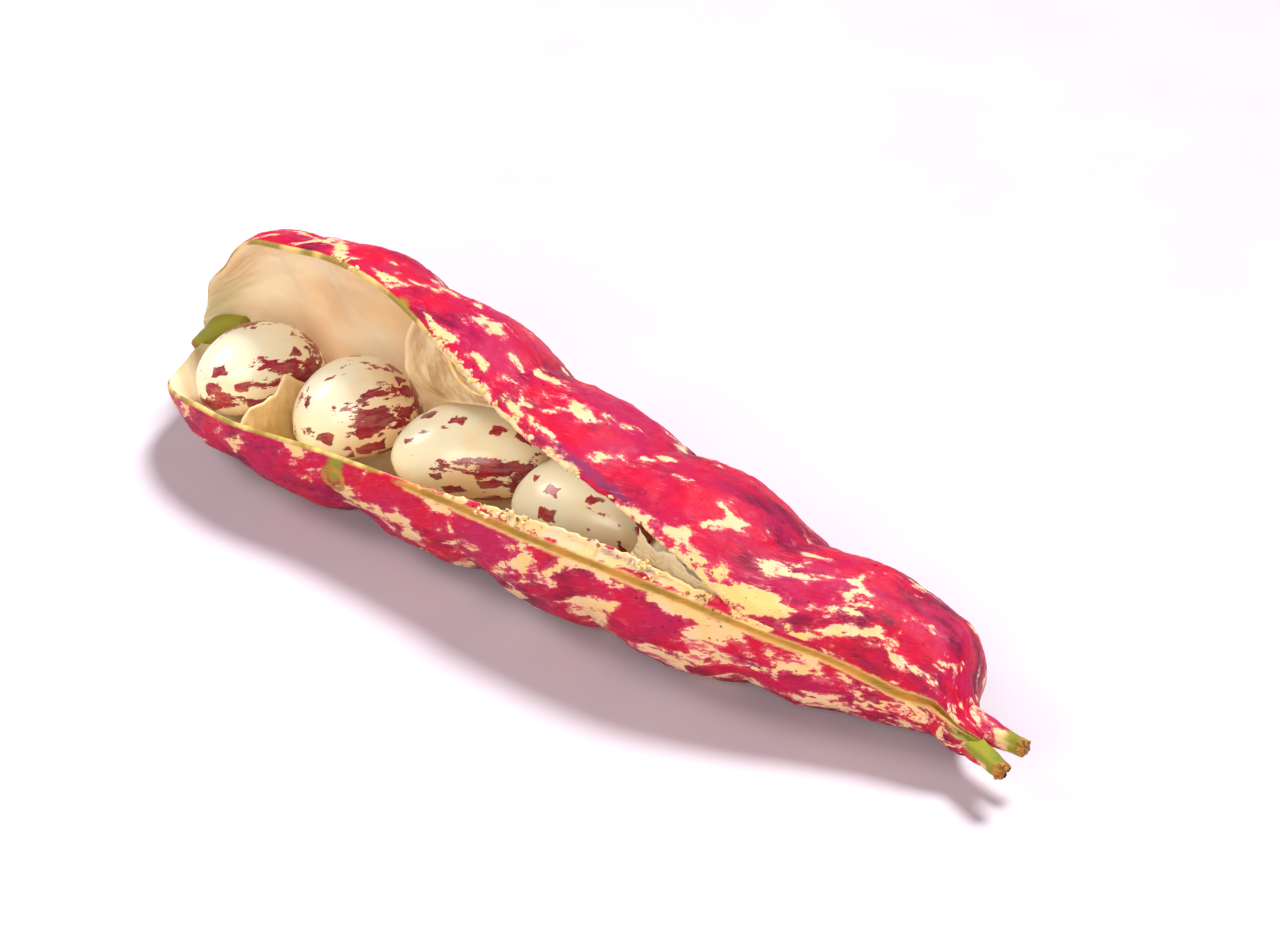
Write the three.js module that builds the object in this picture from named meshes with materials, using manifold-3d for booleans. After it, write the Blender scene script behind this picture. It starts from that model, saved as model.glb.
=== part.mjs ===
// A cranberry bean pod as picked, split open along its front seam, with its six beans inside.
// Millimetres. The pod lies along X from the stem end to the beak, on its lower valve, with Z up.
// The front seam, which the beans grow from, faces -Y, and the back seam, which stays whole, faces +Y.
// The pod is one grown piece: its wall, stem stub, two beak stubs and a loose flap of inner membrane.
import * as THREE from "three";
import { mergeVertices } from "three/addons/utils/BufferGeometryUtils.js";
import Module from "manifold-3d";

const wasm = await Module();
wasm.setup();

// Driving outlines of the pod: each is a list of [place along the pod, value].
// FRONT_SEAM and BACK_SEAM are the two edges in plan, HALF_DEPTH is half the thickness, UNDERSIDE is
// the lift of the belly off the table, and LEAN turns each section about its middle, in degrees.
const FRONT_SEAM = [[1.6, -11], [3, -14.2], [5, -16.6], [8, -19], [13, -21.2], [22, -23.2], [35, -23.2],
  [50, -24.8], [65, -26.8], [80, -27.2], [92, -24.8], [100, -22], [107, -20.4], [112, -20], [115, -20]];
const BACK_SEAM = [[1.6, -5.2], [3, -4.6], [5, -4], [8, -3.4], [13, -2.6], [22, -2.2], [35, -1.8],
  [50, -1.8], [65, -2.4], [80, -3.4], [92, -4.8], [100, -5.6], [106, -6.8], [109, -8.8], [111, -11.6],
  [112.6, -14.4], [115, -15.8]];
const HALF_DEPTH = [[1.6, 3], [3, 4.1], [5, 5.4], [8, 6.8], [13, 8.1], [22, 9], [35, 9.4], [50, 10],
  [65, 10.4], [80, 10.2], [92, 8.8], [100, 7.5], [106, 6.1], [109, 5], [111, 3.9], [112.6, 2.9], [115, 2.3]];
const UNDERSIDE = [[1.6, 5.7], [5, 3.6], [8, 2], [13, 0.7], [20, -0.25], [90, -0.25], [100, 0.7],
  [106, 1.3], [110, 1.9], [115, 2.7]];
const LEAN = [[1.6, -8], [30, -16], [60, -22], [90, -24], [104, -14], [115, -1]];

// The split: GAPE is how far the upper valve is bent back about the back seam, LOWER_LIP and UPPER_LIP
// are where the torn edges run, all in degrees round the section from the front seam.
const GAPE = [[1.6, 66], [12, 62], [22, 60], [32, 54], [45, 38], [60, 18], [75, 8], [84, 3.5], [91, 0], [115, 0]];
const LOWER_LIP = [[1.6, 120], [2.2, 80], [3, 50], [5, 24], [8, 11], [13, 3], [20, 0], [48, 0], [56, -5],
  [64, -9], [74, -11], [84, -8], [91, -6], [115, -6]];
const UPPER_LIP = [[1.6, 240], [2.2, 280], [3, 308], [5, 334], [8, 349], [13, 357], [20, 360], [44, 360],
  [56, 352], [64, 346], [74, 345], [84, 350], [91, 354], [115, 354]];
const SPLIT_END = 91;
const HINGE_SPREAD = 45;

// The pod wall, the waists between the beans and the raised seam.
const WALL = 1.3;
const WAISTS = [19.5, 36, 54.5, 72, 89.5];
const WAIST_WIDTH = 4.2;
const WAIST_DEPTH = 1.1;
const PARTITION_DEPTH = 0.5;
const CUSHION = 1.5;
const CUSHION_MIDDLE = 95;
const CUSHION_SPREAD = 50;
const SEAM_RIDGE = 0.45;
const SEAM_WIDTH = 6;
const CAVITY_END = 109;
const END_WALL = 1.6;

// Stubs that end the pod: points of the middle line with the radius there. The beak is split in two.
const BEAK_STUBS = [
  [[110.5, -18, 4.9, 1.7], [113.6, -19, 4.9, 1.5], [116.4, -20.2, 5, 1.05], [119, -21.2, 5.1, 0.85]],
  [[110.5, -16.6, 5.2, 1.7], [113.6, -16.8, 5.3, 1.5], [116.4, -17.1, 5.6, 1.1], [119.4, -17.4, 5.8, 0.9]],
];
const STEM_STUB = [[6.4, -3.9, 9.9, 1.2], [3.4, -4.7, 8.9, 1.7], [1.5, -5.4, 7.5, 1.1], [0.1, -6, 6.3, 0.8]];
const STUB_SIDES = 10;

// The membrane flap that hangs from the upper lip: where it starts and ends along the lip, how its free
// edge drops at the start and at the end, how far the start edge bows out, and its thickness.
const FLAP_START = 37.5;
const FLAP_END = 53;
const FLAP_DROP_START = [1.5, 1.7, -11.2];
const FLAP_DROP_END = [0.4, 1.2, -1.6];
const FLAP_BOW = [-1.9, -1.7, 0];
const FLAP_THICKNESS = 0.7;
const FLAP_FACING = [0.29, 0.94, 0.17];
const FLAP_ROOT_TURN = 3;
const FLAP_COLUMNS = 12;
const FLAP_ROWS = 7;

// How finely the wall is faceted.
const ROWS = 58;
const COLUMNS = 22;
const TURN_STEPS = 360;

// Each bean: centre, half length, half width, half thickness, and turns about Z, Y and X in degrees.
const BEANS = [
  { at: [13.6, -9.9, 9.4], half: [7.6, 5.3, 5.3], turn: [56, 0, 70] },
  { at: [28.2, -10.3, 9.4], half: [7.4, 5.9, 5.7], turn: [52, 0, 70] },
  { at: [44.3, -10.2, 9.4], half: [8.8, 5.7, 5.2], turn: [32, 0, 35] },
  { at: [62.0, -12.4, 9.4], half: [8.6, 6.1, 5.7], turn: [8, 3, 30] },
  { at: [80.2, -13.8, 9.2], half: [8.3, 6.1, 5.8], turn: [0, 0, 20] },
  { at: [97.2, -13.4, 8.6], half: [7.2, 5.3, 4.9], turn: [4, 2, 20] },
];
const BEAN_BEND = 1.1;
const HILUM_DENT = 0.45;
const BEAN_RINGS = 12;
const BEAN_SIDES = 14;

// The middle of the pod's base in the outlines above, which the finished part is moved to stand on.
const BASE_MIDDLE = [59.54, -11.52, 0];

const rad = THREE.MathUtils.degToRad;

// A smooth curve through stations, with each slope taken from its neighbours.
function follow(stations, x) {
  const n = stations.length;
  const slope = (i) => {
    const a = stations[Math.max(i - 1, 0)];
    const b = stations[Math.min(i + 1, n - 1)];
    return (b[1] - a[1]) / (b[0] - a[0]);
  };
  const p = Math.min(Math.max(x, stations[0][0]), stations[n - 1][0]);
  let i = 0;
  while (i < n - 2 && p >= stations[i + 1][0]) i += 1;
  const h = stations[i + 1][0] - stations[i][0];
  const t = (p - stations[i][0]) / h;
  return stations[i][1] * (1 + 2 * t) * (1 - t) ** 2 + h * slope(i) * t * (1 - t) ** 2
    + stations[i + 1][1] * t * t * (3 - 2 * t) + h * slope(i + 1) * t * t * (t - 1);
}

const ease = (t) => {
  const c = Math.min(Math.max(t, 0), 1);
  return c * c * (3 - 2 * c);
};

// How strongly a place along the pod lies in a waist between two beans, from 0 to 1.
const waistAt = (x) => WAISTS.reduce((sum, w) => sum + Math.exp(-(((x - w) / WAIST_WIDTH) ** 2)), 0);

// One section of the wall: an ellipse walked round from the front seam under the belly, whose upper half
// is turned back by the gape as it passes the back seam. Returns the point at each wanted angle.
function section(x, inward) {
  const front = follow(FRONT_SEAM, x);
  const back = follow(BACK_SEAM, x);
  const halfWidth = (back - front) / 2;
  const halfDepth = follow(HALF_DEPTH, x);
  const middle = (back + front) / 2;
  const lift = follow(UNDERSIDE, x) + halfDepth;
  const gape = rad(Math.max(follow(GAPE, x), 0));
  const lean = rad(follow(LEAN, x));
  const waist = waistAt(x);
  const spread = rad(HINGE_SPREAD);
  const from = -0.5;
  const step = (2 * Math.PI + 1) / TURN_STEPS;
  const walk = [];
  let y = 0;
  let z = 0;
  let before = null;
  for (let k = 0; k <= TURN_STEPS; k += 1) {
    const angle = from + k * step;
    const bend = -gape * ease((angle - Math.PI + spread) / (2 * spread));
    const dy = halfWidth * Math.sin(angle);
    const dz = -halfDepth * Math.cos(angle);
    const ty = dy * Math.cos(bend) - dz * Math.sin(bend);
    const tz = dy * Math.sin(bend) + dz * Math.cos(bend);
    if (before) {
      y += (ty + before[0]) * step / 2;
      z += (tz + before[1]) * step / 2;
    }
    before = [ty, tz];
    const length = Math.hypot(ty, tz);
    walk.push({ angle, y, z, ny: -tz / length, nz: ty / length });
  }
  const at = (angle) => {
    const place = Math.min(Math.max((angle - from) / step, 0), TURN_STEPS - 1e-6);
    const k = Math.floor(place);
    const t = place - k;
    const mix = (key) => walk[k][key] * (1 - t) + walk[k + 1][key] * t;
    return { y: mix("y"), z: mix("z"), ny: mix("ny"), nz: mix("nz") };
  };
  const bottom = at(Math.PI / 2);
  return (angle) => {
    const p = at(angle);
    const face = Math.abs(Math.sin(angle)) ** 1.5;
    const fromSeam = (angle + Math.PI) % (2 * Math.PI) - Math.PI;
    const raised = inward ? 0 : SEAM_RIDGE * Math.exp(-((fromSeam / rad(SEAM_WIDTH)) ** 2));
    const under = Math.exp(-(((angle - rad(CUSHION_MIDDLE)) / rad(CUSHION_SPREAD)) ** 2));
    const lining = inward ? inward + CUSHION * under + PARTITION_DEPTH * waist * face : 0;
    const offset = lining + WAIST_DEPTH * waist * face - raised;
    const py = p.y - bottom.y + p.ny * offset;
    const pz = p.z - bottom.z + p.nz * offset - halfDepth;
    return [
      middle + py * Math.cos(lean) - pz * Math.sin(lean),
      lift + py * Math.sin(lean) + pz * Math.cos(lean),
    ];
  };
}

// A closed solid from vertices and triangles, for joining.
function solidFrom(vertices, triangles) {
  const loose = new THREE.BufferGeometry();
  loose.setAttribute("position", new THREE.Float32BufferAttribute(vertices.flat(), 3));
  loose.setIndex(triangles.flat());
  return solidOf(loose);
}

function solidOf(source) {
  const bare = source.clone();
  bare.deleteAttribute("normal");
  bare.deleteAttribute("uv");
  const merged = mergeVertices(bare, 1e-3);
  return new wasm.Manifold(new wasm.Mesh({
    numProp: 3,
    vertProperties: new Float32Array(merged.attributes.position.array),
    triVerts: new Uint32Array(merged.index.array),
  }));
}

function geometryOf(solid) {
  const made = solid.getMesh();
  const geometry = new THREE.BufferGeometry();
  geometry.setAttribute("position", new THREE.BufferAttribute(made.vertProperties, 3));
  geometry.setIndex(new THREE.BufferAttribute(made.triVerts, 1));
  geometry.computeVertexNormals();
  return geometry;
}

// The wall of the pod: an outer and an inner skin on one grid, joined along the torn lips and round the
// open stem end, and closed over the beak. Where the seam is whole, the first and last columns are one.
function podWall() {
  const start = FRONT_SEAM[0][0];
  const end = FRONT_SEAM[FRONT_SEAM.length - 1][0];
  const places = [];
  for (let i = 0; i < ROWS; i += 1) {
    const t = i / (ROWS - 1);
    places.push(start + (end - start) * (t - 0.1 * Math.sin(2 * Math.PI * t)));
  }
  const lastInner = places.findIndex((x) => x > CAVITY_END) - 1;
  const vertices = [];
  const skin = (inward, rows) => places.slice(0, rows).map((x) => {
    const point = section(x, inward);
    const whole = x >= SPLIT_END;
    const low = rad(follow(LOWER_LIP, x));
    const high = whole ? low + 2 * Math.PI : rad(follow(UPPER_LIP, x));
    const drawnBack = inward ? END_WALL * ease((x - 96) / 12) : 0;
    const ids = [];
    for (let j = 0; j <= COLUMNS; j += 1) {
      if (whole && j === COLUMNS) {
        ids.push(ids[0]);
        continue;
      }
      const [y, z] = point(low + (high - low) * j / COLUMNS);
      ids.push(vertices.length);
      vertices.push([x - drawnBack, y, inward ? z : Math.max(z, 0)]);
    }
    return ids;
  });
  const outer = skin(0, ROWS);
  const inner = skin(WALL, lastInner + 1);
  const triangles = [];
  const quad = (a, b, c, d) => triangles.push([a, b, c], [a, c, d]);
  const cover = (grid, outwards) => {
    for (let i = 0; i < grid.length - 1; i += 1) {
      for (let j = 0; j < COLUMNS; j += 1) {
        const corners = [grid[i][j], grid[i][j + 1], grid[i + 1][j + 1], grid[i + 1][j]];
        quad(...(outwards ? corners : corners.reverse()));
      }
    }
  };
  cover(outer, true);
  cover(inner, false);
  for (let j = 0; j < COLUMNS; j += 1) {
    quad(outer[0][j + 1], outer[0][j], inner[0][j], inner[0][j + 1]);
  }
  for (let i = 0; places[i] < SPLIT_END; i += 1) {
    quad(outer[i][0], outer[i + 1][0], inner[i + 1][0], inner[i][0]);
    quad(outer[i + 1][COLUMNS], outer[i][COLUMNS], inner[i][COLUMNS], inner[i + 1][COLUMNS]);
  }
  const closeOver = (ring, outwards) => {
    const middle = [0, 1, 2].map((axis) => ring.slice(0, COLUMNS)
      .reduce((sum, id) => sum + vertices[id][axis], 0) / COLUMNS);
    const tip = vertices.length;
    vertices.push(middle);
    for (let j = 0; j < COLUMNS; j += 1) {
      triangles.push(outwards ? [ring[j], ring[j + 1], tip] : [ring[j + 1], ring[j], tip]);
    }
  };
  closeOver(outer[ROWS - 1], true);
  closeOver(inner[lastInner], false);
  return solidFrom(vertices, triangles);
}

// A tapering round stub along a middle line, with flat cut ends.
function stub(line) {
  const points = line.map(([x, y, z]) => new THREE.Vector3(x, y, z));
  const vertices = [];
  points.forEach((point, i) => {
    const ahead = points[Math.min(i + 1, points.length - 1)];
    const behind = points[Math.max(i - 1, 0)];
    const along = ahead.clone().sub(behind).normalize();
    const side = new THREE.Vector3(0, 0, 1).cross(along).normalize();
    const up = along.clone().cross(side);
    for (let j = 0; j < STUB_SIDES; j += 1) {
      const v = 2 * Math.PI * j / STUB_SIDES;
      const rim = point.clone()
        .addScaledVector(side, line[i][3] * Math.cos(v))
        .addScaledVector(up, line[i][3] * Math.sin(v));
      vertices.push(rim.toArray());
    }
  });
  const triangles = [];
  for (let j = 0; j < STUB_SIDES; j += 1) {
    const k = (j + 1) % STUB_SIDES;
    for (let i = 0; i < line.length - 1; i += 1) {
      const a = i * STUB_SIDES;
      triangles.push([a + j, a + STUB_SIDES + k, a + STUB_SIDES + j], [a + j, a + k, a + STUB_SIDES + k]);
    }
    const last = (line.length - 1) * STUB_SIDES;
    if (j > 0 && j < STUB_SIDES - 1) {
      triangles.push([0, k, j], [last, last + j, last + k]);
    }
  }
  return solidFrom(vertices, triangles);
}

// The flap: a thin curved sheet whose top edge is sunk in the middle of the upper lip.
function membraneFlap() {
  const vertices = [];
  for (const side of [-0.5, 0.5]) {
    for (let i = 0; i <= FLAP_COLUMNS; i += 1) {
      const s = i / FLAP_COLUMNS;
      const x = FLAP_START + (FLAP_END - FLAP_START) * s;
      const [y, z] = section(x, WALL / 2)(rad(follow(UPPER_LIP, x) - FLAP_ROOT_TURN));
      for (let j = 0; j <= FLAP_ROWS; j += 1) {
        const t = j / FLAP_ROWS;
        vertices.push([x, y, z].map((value, axis) => {
          const drop = FLAP_DROP_START[axis] * (1 - s) + FLAP_DROP_END[axis] * s;
          const bow = FLAP_BOW[axis] * Math.sin(Math.PI * t) * (1 - s) ** 2;
          return value + drop * t + bow + side * FLAP_THICKNESS * FLAP_FACING[axis];
        }));
      }
    }
  }
  const across = FLAP_ROWS + 1;
  const back = (FLAP_COLUMNS + 1) * across;
  const triangles = [];
  const quad = (a, b, c, d) => triangles.push([a, b, c], [a, c, d]);
  for (let i = 0; i < FLAP_COLUMNS; i += 1) {
    for (let j = 0; j < FLAP_ROWS; j += 1) {
      const a = i * across + j;
      quad(a, a + 1, a + across + 1, a + across);
      quad(back + a, back + a + across, back + a + across + 1, back + a + 1);
    }
    for (const j of [0, FLAP_ROWS]) {
      const a = i * across + j;
      const ring = [a, a + across, back + a + across, back + a];
      quad(...(j ? ring.reverse() : ring));
    }
  }
  for (let j = 0; j < FLAP_ROWS; j += 1) {
    const a = FLAP_COLUMNS * across + j;
    quad(j, back + j, back + j + 1, j + 1);
    quad(a, a + 1, back + a + 1, back + a);
  }
  return solidFrom(vertices, triangles);
}

// A kidney-shaped bean: rings from end to end, its middle line bent towards the seam, and a small dent
// at the scar where it grew from the pod.
function beanGeometry(half) {
  const [long, wide, thick] = half;
  const vertices = [];
  for (let i = 0; i <= BEAN_RINGS; i += 1) {
    const u = Math.PI * i / BEAN_RINGS;
    for (let j = 0; j < BEAN_SIDES; j += 1) {
      const v = 2 * Math.PI * j / BEAN_SIDES;
      const girth = Math.sin(u) ** 0.9;
      const x = long * Math.cos(u);
      const z = thick * girth * Math.sin(v);
      const scar = Math.cos(v) < 0 ? HILUM_DENT * Math.exp(-((x / 2.4) ** 2) - (z / 2) ** 2) : 0;
      const y = wide * girth * Math.cos(v) + BEAN_BEND * (1 / 3 - Math.cos(u) ** 2) + scar;
      vertices.push([x, y, z]);
    }
  }
  const triangles = [];
  for (let i = 0; i < BEAN_RINGS; i += 1) {
    for (let j = 0; j < BEAN_SIDES; j += 1) {
      const a = i * BEAN_SIDES + j;
      const b = i * BEAN_SIDES + (j + 1) % BEAN_SIDES;
      if (i > 0) triangles.push([b, a, a + BEAN_SIDES]);
      if (i < BEAN_RINGS - 1) triangles.push([b + BEAN_SIDES, b, a + BEAN_SIDES]);
    }
  }
  return geometryOf(solidFrom(vertices, triangles));
}

const skinFinish = new THREE.MeshStandardMaterial({ color: 0xb8203f, roughness: 0.45, metalness: 0 });
const beanFinish = new THREE.MeshStandardMaterial({ color: 0xf3e6c4, roughness: 0.22, metalness: 0 });

const beanPod = new THREE.Group();
const grown = [...BEAK_STUBS.map(stub), stub(STEM_STUB), membraneFlap()]
  .reduce((joined, piece) => joined.add(piece), podWall());
const pod = new THREE.Mesh(geometryOf(grown), skinFinish);
pod.name = "pod";
beanPod.add(pod);

BEANS.forEach(({ at, half, turn }, i) => {
  const bean = new THREE.Mesh(beanGeometry(half), beanFinish.clone());
  bean.name = `bean_${i + 1}`;
  bean.position.set(...at);
  bean.rotation.set(rad(turn[2]), rad(turn[1]), rad(turn[0]), "ZYX");
  beanPod.add(bean);
});

beanPod.children.forEach((piece) => piece.position.sub(new THREE.Vector3(...BASE_MIDDLE)));

export default beanPod;
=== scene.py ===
"""The looks of a cranberry bean pod, split open along its front seam, with its six beans.

Every piece is worked out with numpy from the same outlines as the solids, in millimetres, and is put
in the frame in metres. The pod lies along X from its stem end to its beak. The front seam faces -Y.
"""

import math

import bpy
import numpy as np
from mathutils import Euler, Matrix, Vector


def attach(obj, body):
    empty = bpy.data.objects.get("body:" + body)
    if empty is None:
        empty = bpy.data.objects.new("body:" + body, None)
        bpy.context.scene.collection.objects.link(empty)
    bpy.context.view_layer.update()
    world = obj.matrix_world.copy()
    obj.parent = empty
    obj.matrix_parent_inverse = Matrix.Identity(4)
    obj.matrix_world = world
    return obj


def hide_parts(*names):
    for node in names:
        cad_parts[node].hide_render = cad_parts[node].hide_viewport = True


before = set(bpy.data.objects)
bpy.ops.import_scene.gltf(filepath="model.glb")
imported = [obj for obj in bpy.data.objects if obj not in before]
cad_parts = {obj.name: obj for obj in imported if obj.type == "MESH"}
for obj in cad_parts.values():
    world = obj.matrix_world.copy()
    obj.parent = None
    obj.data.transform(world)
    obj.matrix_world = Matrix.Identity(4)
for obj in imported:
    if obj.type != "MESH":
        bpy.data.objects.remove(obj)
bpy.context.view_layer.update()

bl_info = {
    "name": "Cranberry bean pod",
    "version": (1, 0, 0),
    "blender": (4, 5, 0),
    "location": "View3D > Sidebar > Bean pod",
    "description": "Builds an open cranberry bean pod, its beans and a plain studio",
    "category": "Add Mesh",
}

MM = 0.001

# Outlines of the pod, in millimetres: each is a list of (place along the pod, value).
# FRONT_SEAM and BACK_SEAM are the two edges in plan, HALF_DEPTH is half the thickness, UNDERSIDE is
# the lift of the belly off the table, and LEAN turns each section about its middle, in degrees.
FRONT_SEAM = ((1.6, -11), (3, -14.2), (5, -16.6), (8, -19), (13, -21.2), (22, -23.2), (35, -23.2),
              (50, -24.8), (65, -26.8), (80, -27.2), (92, -24.8), (100, -22), (107, -20.4), (112, -20),
              (115, -19.6))
BACK_SEAM = ((1.6, -5.2), (3, -4.6), (5, -4), (8, -3.4), (13, -2.6), (22, -2.2), (35, -1.8),
             (50, -1.8), (65, -2.4), (80, -3.4), (92, -4.8), (100, -5.4), (106, -6.3), (108.8, -7.7),
             (110.2, -9.8), (111, -12.4), (112.6, -14.8), (115, -16.4))
HALF_DEPTH = ((1.6, 3), (3, 4.1), (5, 5.4), (8, 6.8), (13, 8.1), (22, 9), (35, 9.4), (50, 10),
              (65, 10.4), (80, 10.2), (92, 8.8), (100, 7.5), (106, 6.1), (109, 5), (111, 3.6),
              (112.6, 2.4), (115, 1.3))
UNDERSIDE = ((1.6, 5.7), (5, 3.6), (8, 2), (13, 0.7), (20, -0.25), (90, -0.25), (100, 0.7),
             (106, 1.3), (110, 2.1), (112.6, 2.9), (115, 3.8))
LEAN = ((1.6, -8), (30, -16), (60, -22), (90, -24), (104, -14), (115, -1))

# The split: how far the upper valve is bent back, and where the two torn edges run, in degrees round
# the section from the front seam.
GAPE = ((1.6, 66), (12, 62), (22, 60), (32, 54), (45, 38), (60, 18), (75, 8), (84, 3.5), (91, 0),
        (115, 0))
LOWER_LIP = ((1.6, 120), (2.2, 80), (3, 50), (5, 24), (8, 11), (13, 3), (20, 0), (48, 0), (56, -5),
             (64, -9), (74, -11), (84, -8), (91, -6), (115, -6))
UPPER_LIP = ((1.6, 240), (2.2, 280), (3, 308), (5, 334), (8, 349), (13, 357), (20, 360), (44, 360),
             (56, 352), (64, 346), (74, 345), (84, 350), (91, 354), (115, 354))
SPLIT_END = 91
HINGE_SPREAD = 45

# The waists between the beans: places along the pod, spread, and how much thicker the lining is there.
WAISTS = (19.5, 36, 54.5, 72, 89.5)
WAIST_WIDTH = 4.2
PARTITION_DEPTH = 0.5

# The knot on the lower valve: place along the pod, and degrees from the front seam.
KNOT = (34.9, 17)

# The lining is thicker under the beans: by how much, and where round the section, in degrees.
CUSHION = 1.5
CUSHION_MIDDLE = 95
CUSHION_SPREAD = 50

# The ends of the wall, where its cavity narrows and where it is gone, and its least measures.
STEM_END = 1.6
BEAK_END = 115
CAVITY_NARROWS = 100
CAVITY_GONE = 112
THINNEST_WALL = 0.36
LOWEST_LINING = 0.4

# Steps in which a section is walked round, and points across each rim.
TURN_STEPS = 540
RIM_STEPS = 3

# How proud the outer skin stands at the front seam and at the back seam, and how deep its creases and
# dimples are.
SEAM_HEIGHT = 0.45
SEAM_WIDTH = 6
BACK_SEAM_HEIGHT = 0.2
CREASE_DEPTH = 0.6
CREASE_WIDTH = 0.8
DIMPLES = 0.24
FINE_DIMPLES = 0.08

# Degrees that the front seam climbs towards the beak, and that the fibres slant to the pod's length.
SEAM_CLIMB = 58
FIBRE_SLANT = 22

# Stubs that end the pod: name, seed, how far the green reaches from the cut end, and (x, y, z, radius)
# along the middle line. The beak is split in two.
STUBS = (
    ("beak_stub_lower", 21, 6.8, ((109, -17.3, 5, 1.1), (112, -18.1, 4.9, 1.25), (114.4, -19, 4.8, 1.2),
                                  (116.6, -20.1, 5, 1.02), (119, -21.2, 5.1, 0.86))),
    ("beak_stub_upper", 24, 3.2, ((109, -16.2, 5.4, 2.2), (112, -16.6, 5.6, 2), (114.4, -16.9, 5.6, 1.5),
                                  (116.8, -17.2, 5.7, 1.05), (119.4, -17.4, 5.8, 0.9))),
    ("stem_stub", 27, 12, ((6.4, -3.9, 9.9, 1.2), (3.4, -4.7, 8.9, 1.7), (1.5, -5.4, 7.5, 1.1),
                           (0.1, -6, 6.3, 0.8))),
)

# Torn crumbs on the lips: seed, start and end along the pod, how many, whether on the upper lip, and
# how far they spread from it in degrees. TIP_SEEDS is for those on the cut ends of the beak stubs.
PALE_CRUMBS = ((31, 56, 63, 34, False, 7), (32, 76.5, 80, 14, False, 6), (33, 23, 28, 16, True, 3),
               (34, 41, 50, 40, True, 4), (35, 50, 88, 26, True, 2))
DARK_CRUMBS = ((36, 84, 89, 16, False, 5), (37, 60, 88, 12, False, 6))
TIP_SEEDS = (38, 39)
PALE_CRUMB_SIZE = 0.36
DARK_CRUMB_SIZE = 0.26

# The curled fibre: places along and down the flap, and its radius.
THREAD = ((0.42, 0.02, 0.16), (0.47, 0.14, 0.2), (0.53, 0.3, 0.22), (0.6, 0.42, 0.18), (0.7, 0.45, 0.2),
          (0.78, 0.4, 0.17), (0.84, 0.3, 0.12), (0.87, 0.16, 0.06))

# The web between the first two beans, and the shrivelled skin in the end of the split.
WEB_PLACE = 20.8
TORN_WEB = (76, 88.5)

# The membrane flap that hangs from the upper lip.
FLAP_START = 37.5
FLAP_END = 53
FLAP_DROP_START = (1.5, 1.7, -11.2)
FLAP_DROP_END = (0.4, 1.2, -1.6)
FLAP_BOW = (-1.9, -1.7, 0)
FLAP_FACING = (0.29, 0.94, 0.17)
FLAP_ROOT_TURN = 3

# Each bean: centre, half length, half width and half thickness, turns about Z, Y and X in degrees,
# where its scar sits along it, from -1 to 1, and the part of the pattern that its marks come from.
BEANS = (
    {"at": (13.6, -9.9, 9.4), "half": (7.6, 5.3, 5.3), "turn": (56, 0, 70), "scar": 0,
     "marks": (7.3, 4.4, 2.1)},
    {"at": (28.2, -10.3, 9.4), "half": (7.4, 5.9, 5.7), "turn": (52, 0, 70), "scar": 0,
     "marks": (1.7, 8.2, 3.3)},
    {"at": (44.3, -10.2, 9.4), "half": (8.8, 5.7, 5.2), "turn": (32, 0, 35), "scar": -0.84,
     "marks": (9, 2, 5)},
    {"at": (62.0, -12.4, 9.4), "half": (8.6, 6.1, 5.7), "turn": (8, 3, 30), "scar": 0,
     "marks": (5.4, 2.2, 7.7)},
    {"at": (80.2, -13.8, 9.2), "half": (8.3, 6.1, 5.8), "turn": (0, 0, 20), "scar": -0.3,
     "marks": (15, 5, 8)},
    {"at": (97.2, -13.4, 8.6), "half": (7.2, 5.3, 4.9), "turn": (4, 2, 20), "scar": 0,
     "marks": (18, 3, 6)},
)
BEAN_BEND = 1.1
SCAR_DENT = 0.45

# The side on which the dark patches of every bean crowd together, and on which the warm tone is laid thicker
# as painted shade.
PATCH_AND_SHADE_FACING = np.array((0.72, 0.05, -0.69))

# The middle of the base in the outlines above, which is the origin of the frame.
BASE_MIDDLE = np.array((59.54, -11.52, 0))

# The view: the camera's bearing round the pod, its height, its distance and what it looks at.
CAMERA_AZIMUTH = 35
CAMERA_ELEVATION = 33
CAMERA_DISTANCE = 0.4
CAMERA_AIM = (0.00046, 0.01152, 0.0073)
CAMERA_LENS = 101.25

# Lights: place in metres, size (degrees across for the key light, which is a sun) and tint.
KEY_LIGHT = ((0.06, 0.25, 0.53), 19, (1.0, 1.0, 0.98))
LEFT_LIGHT = ((-0.36, -0.20, 0.38), 0.22, (1.0, 0.94, 0.88))
FILL_LIGHT = ((0.20, -0.43, 0.24), 0.3, (1.0, 0.93, 0.84))
LIGHT_AIM = (0, 0, 0.01)
SKY_TINT = (1.0, 0.74, 1.0)
FLOOR_TINTS = ((0.65, 0.60, 0.68), (0.68, 0.63, 0.71))
FLOOR_REACH = 3

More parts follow.
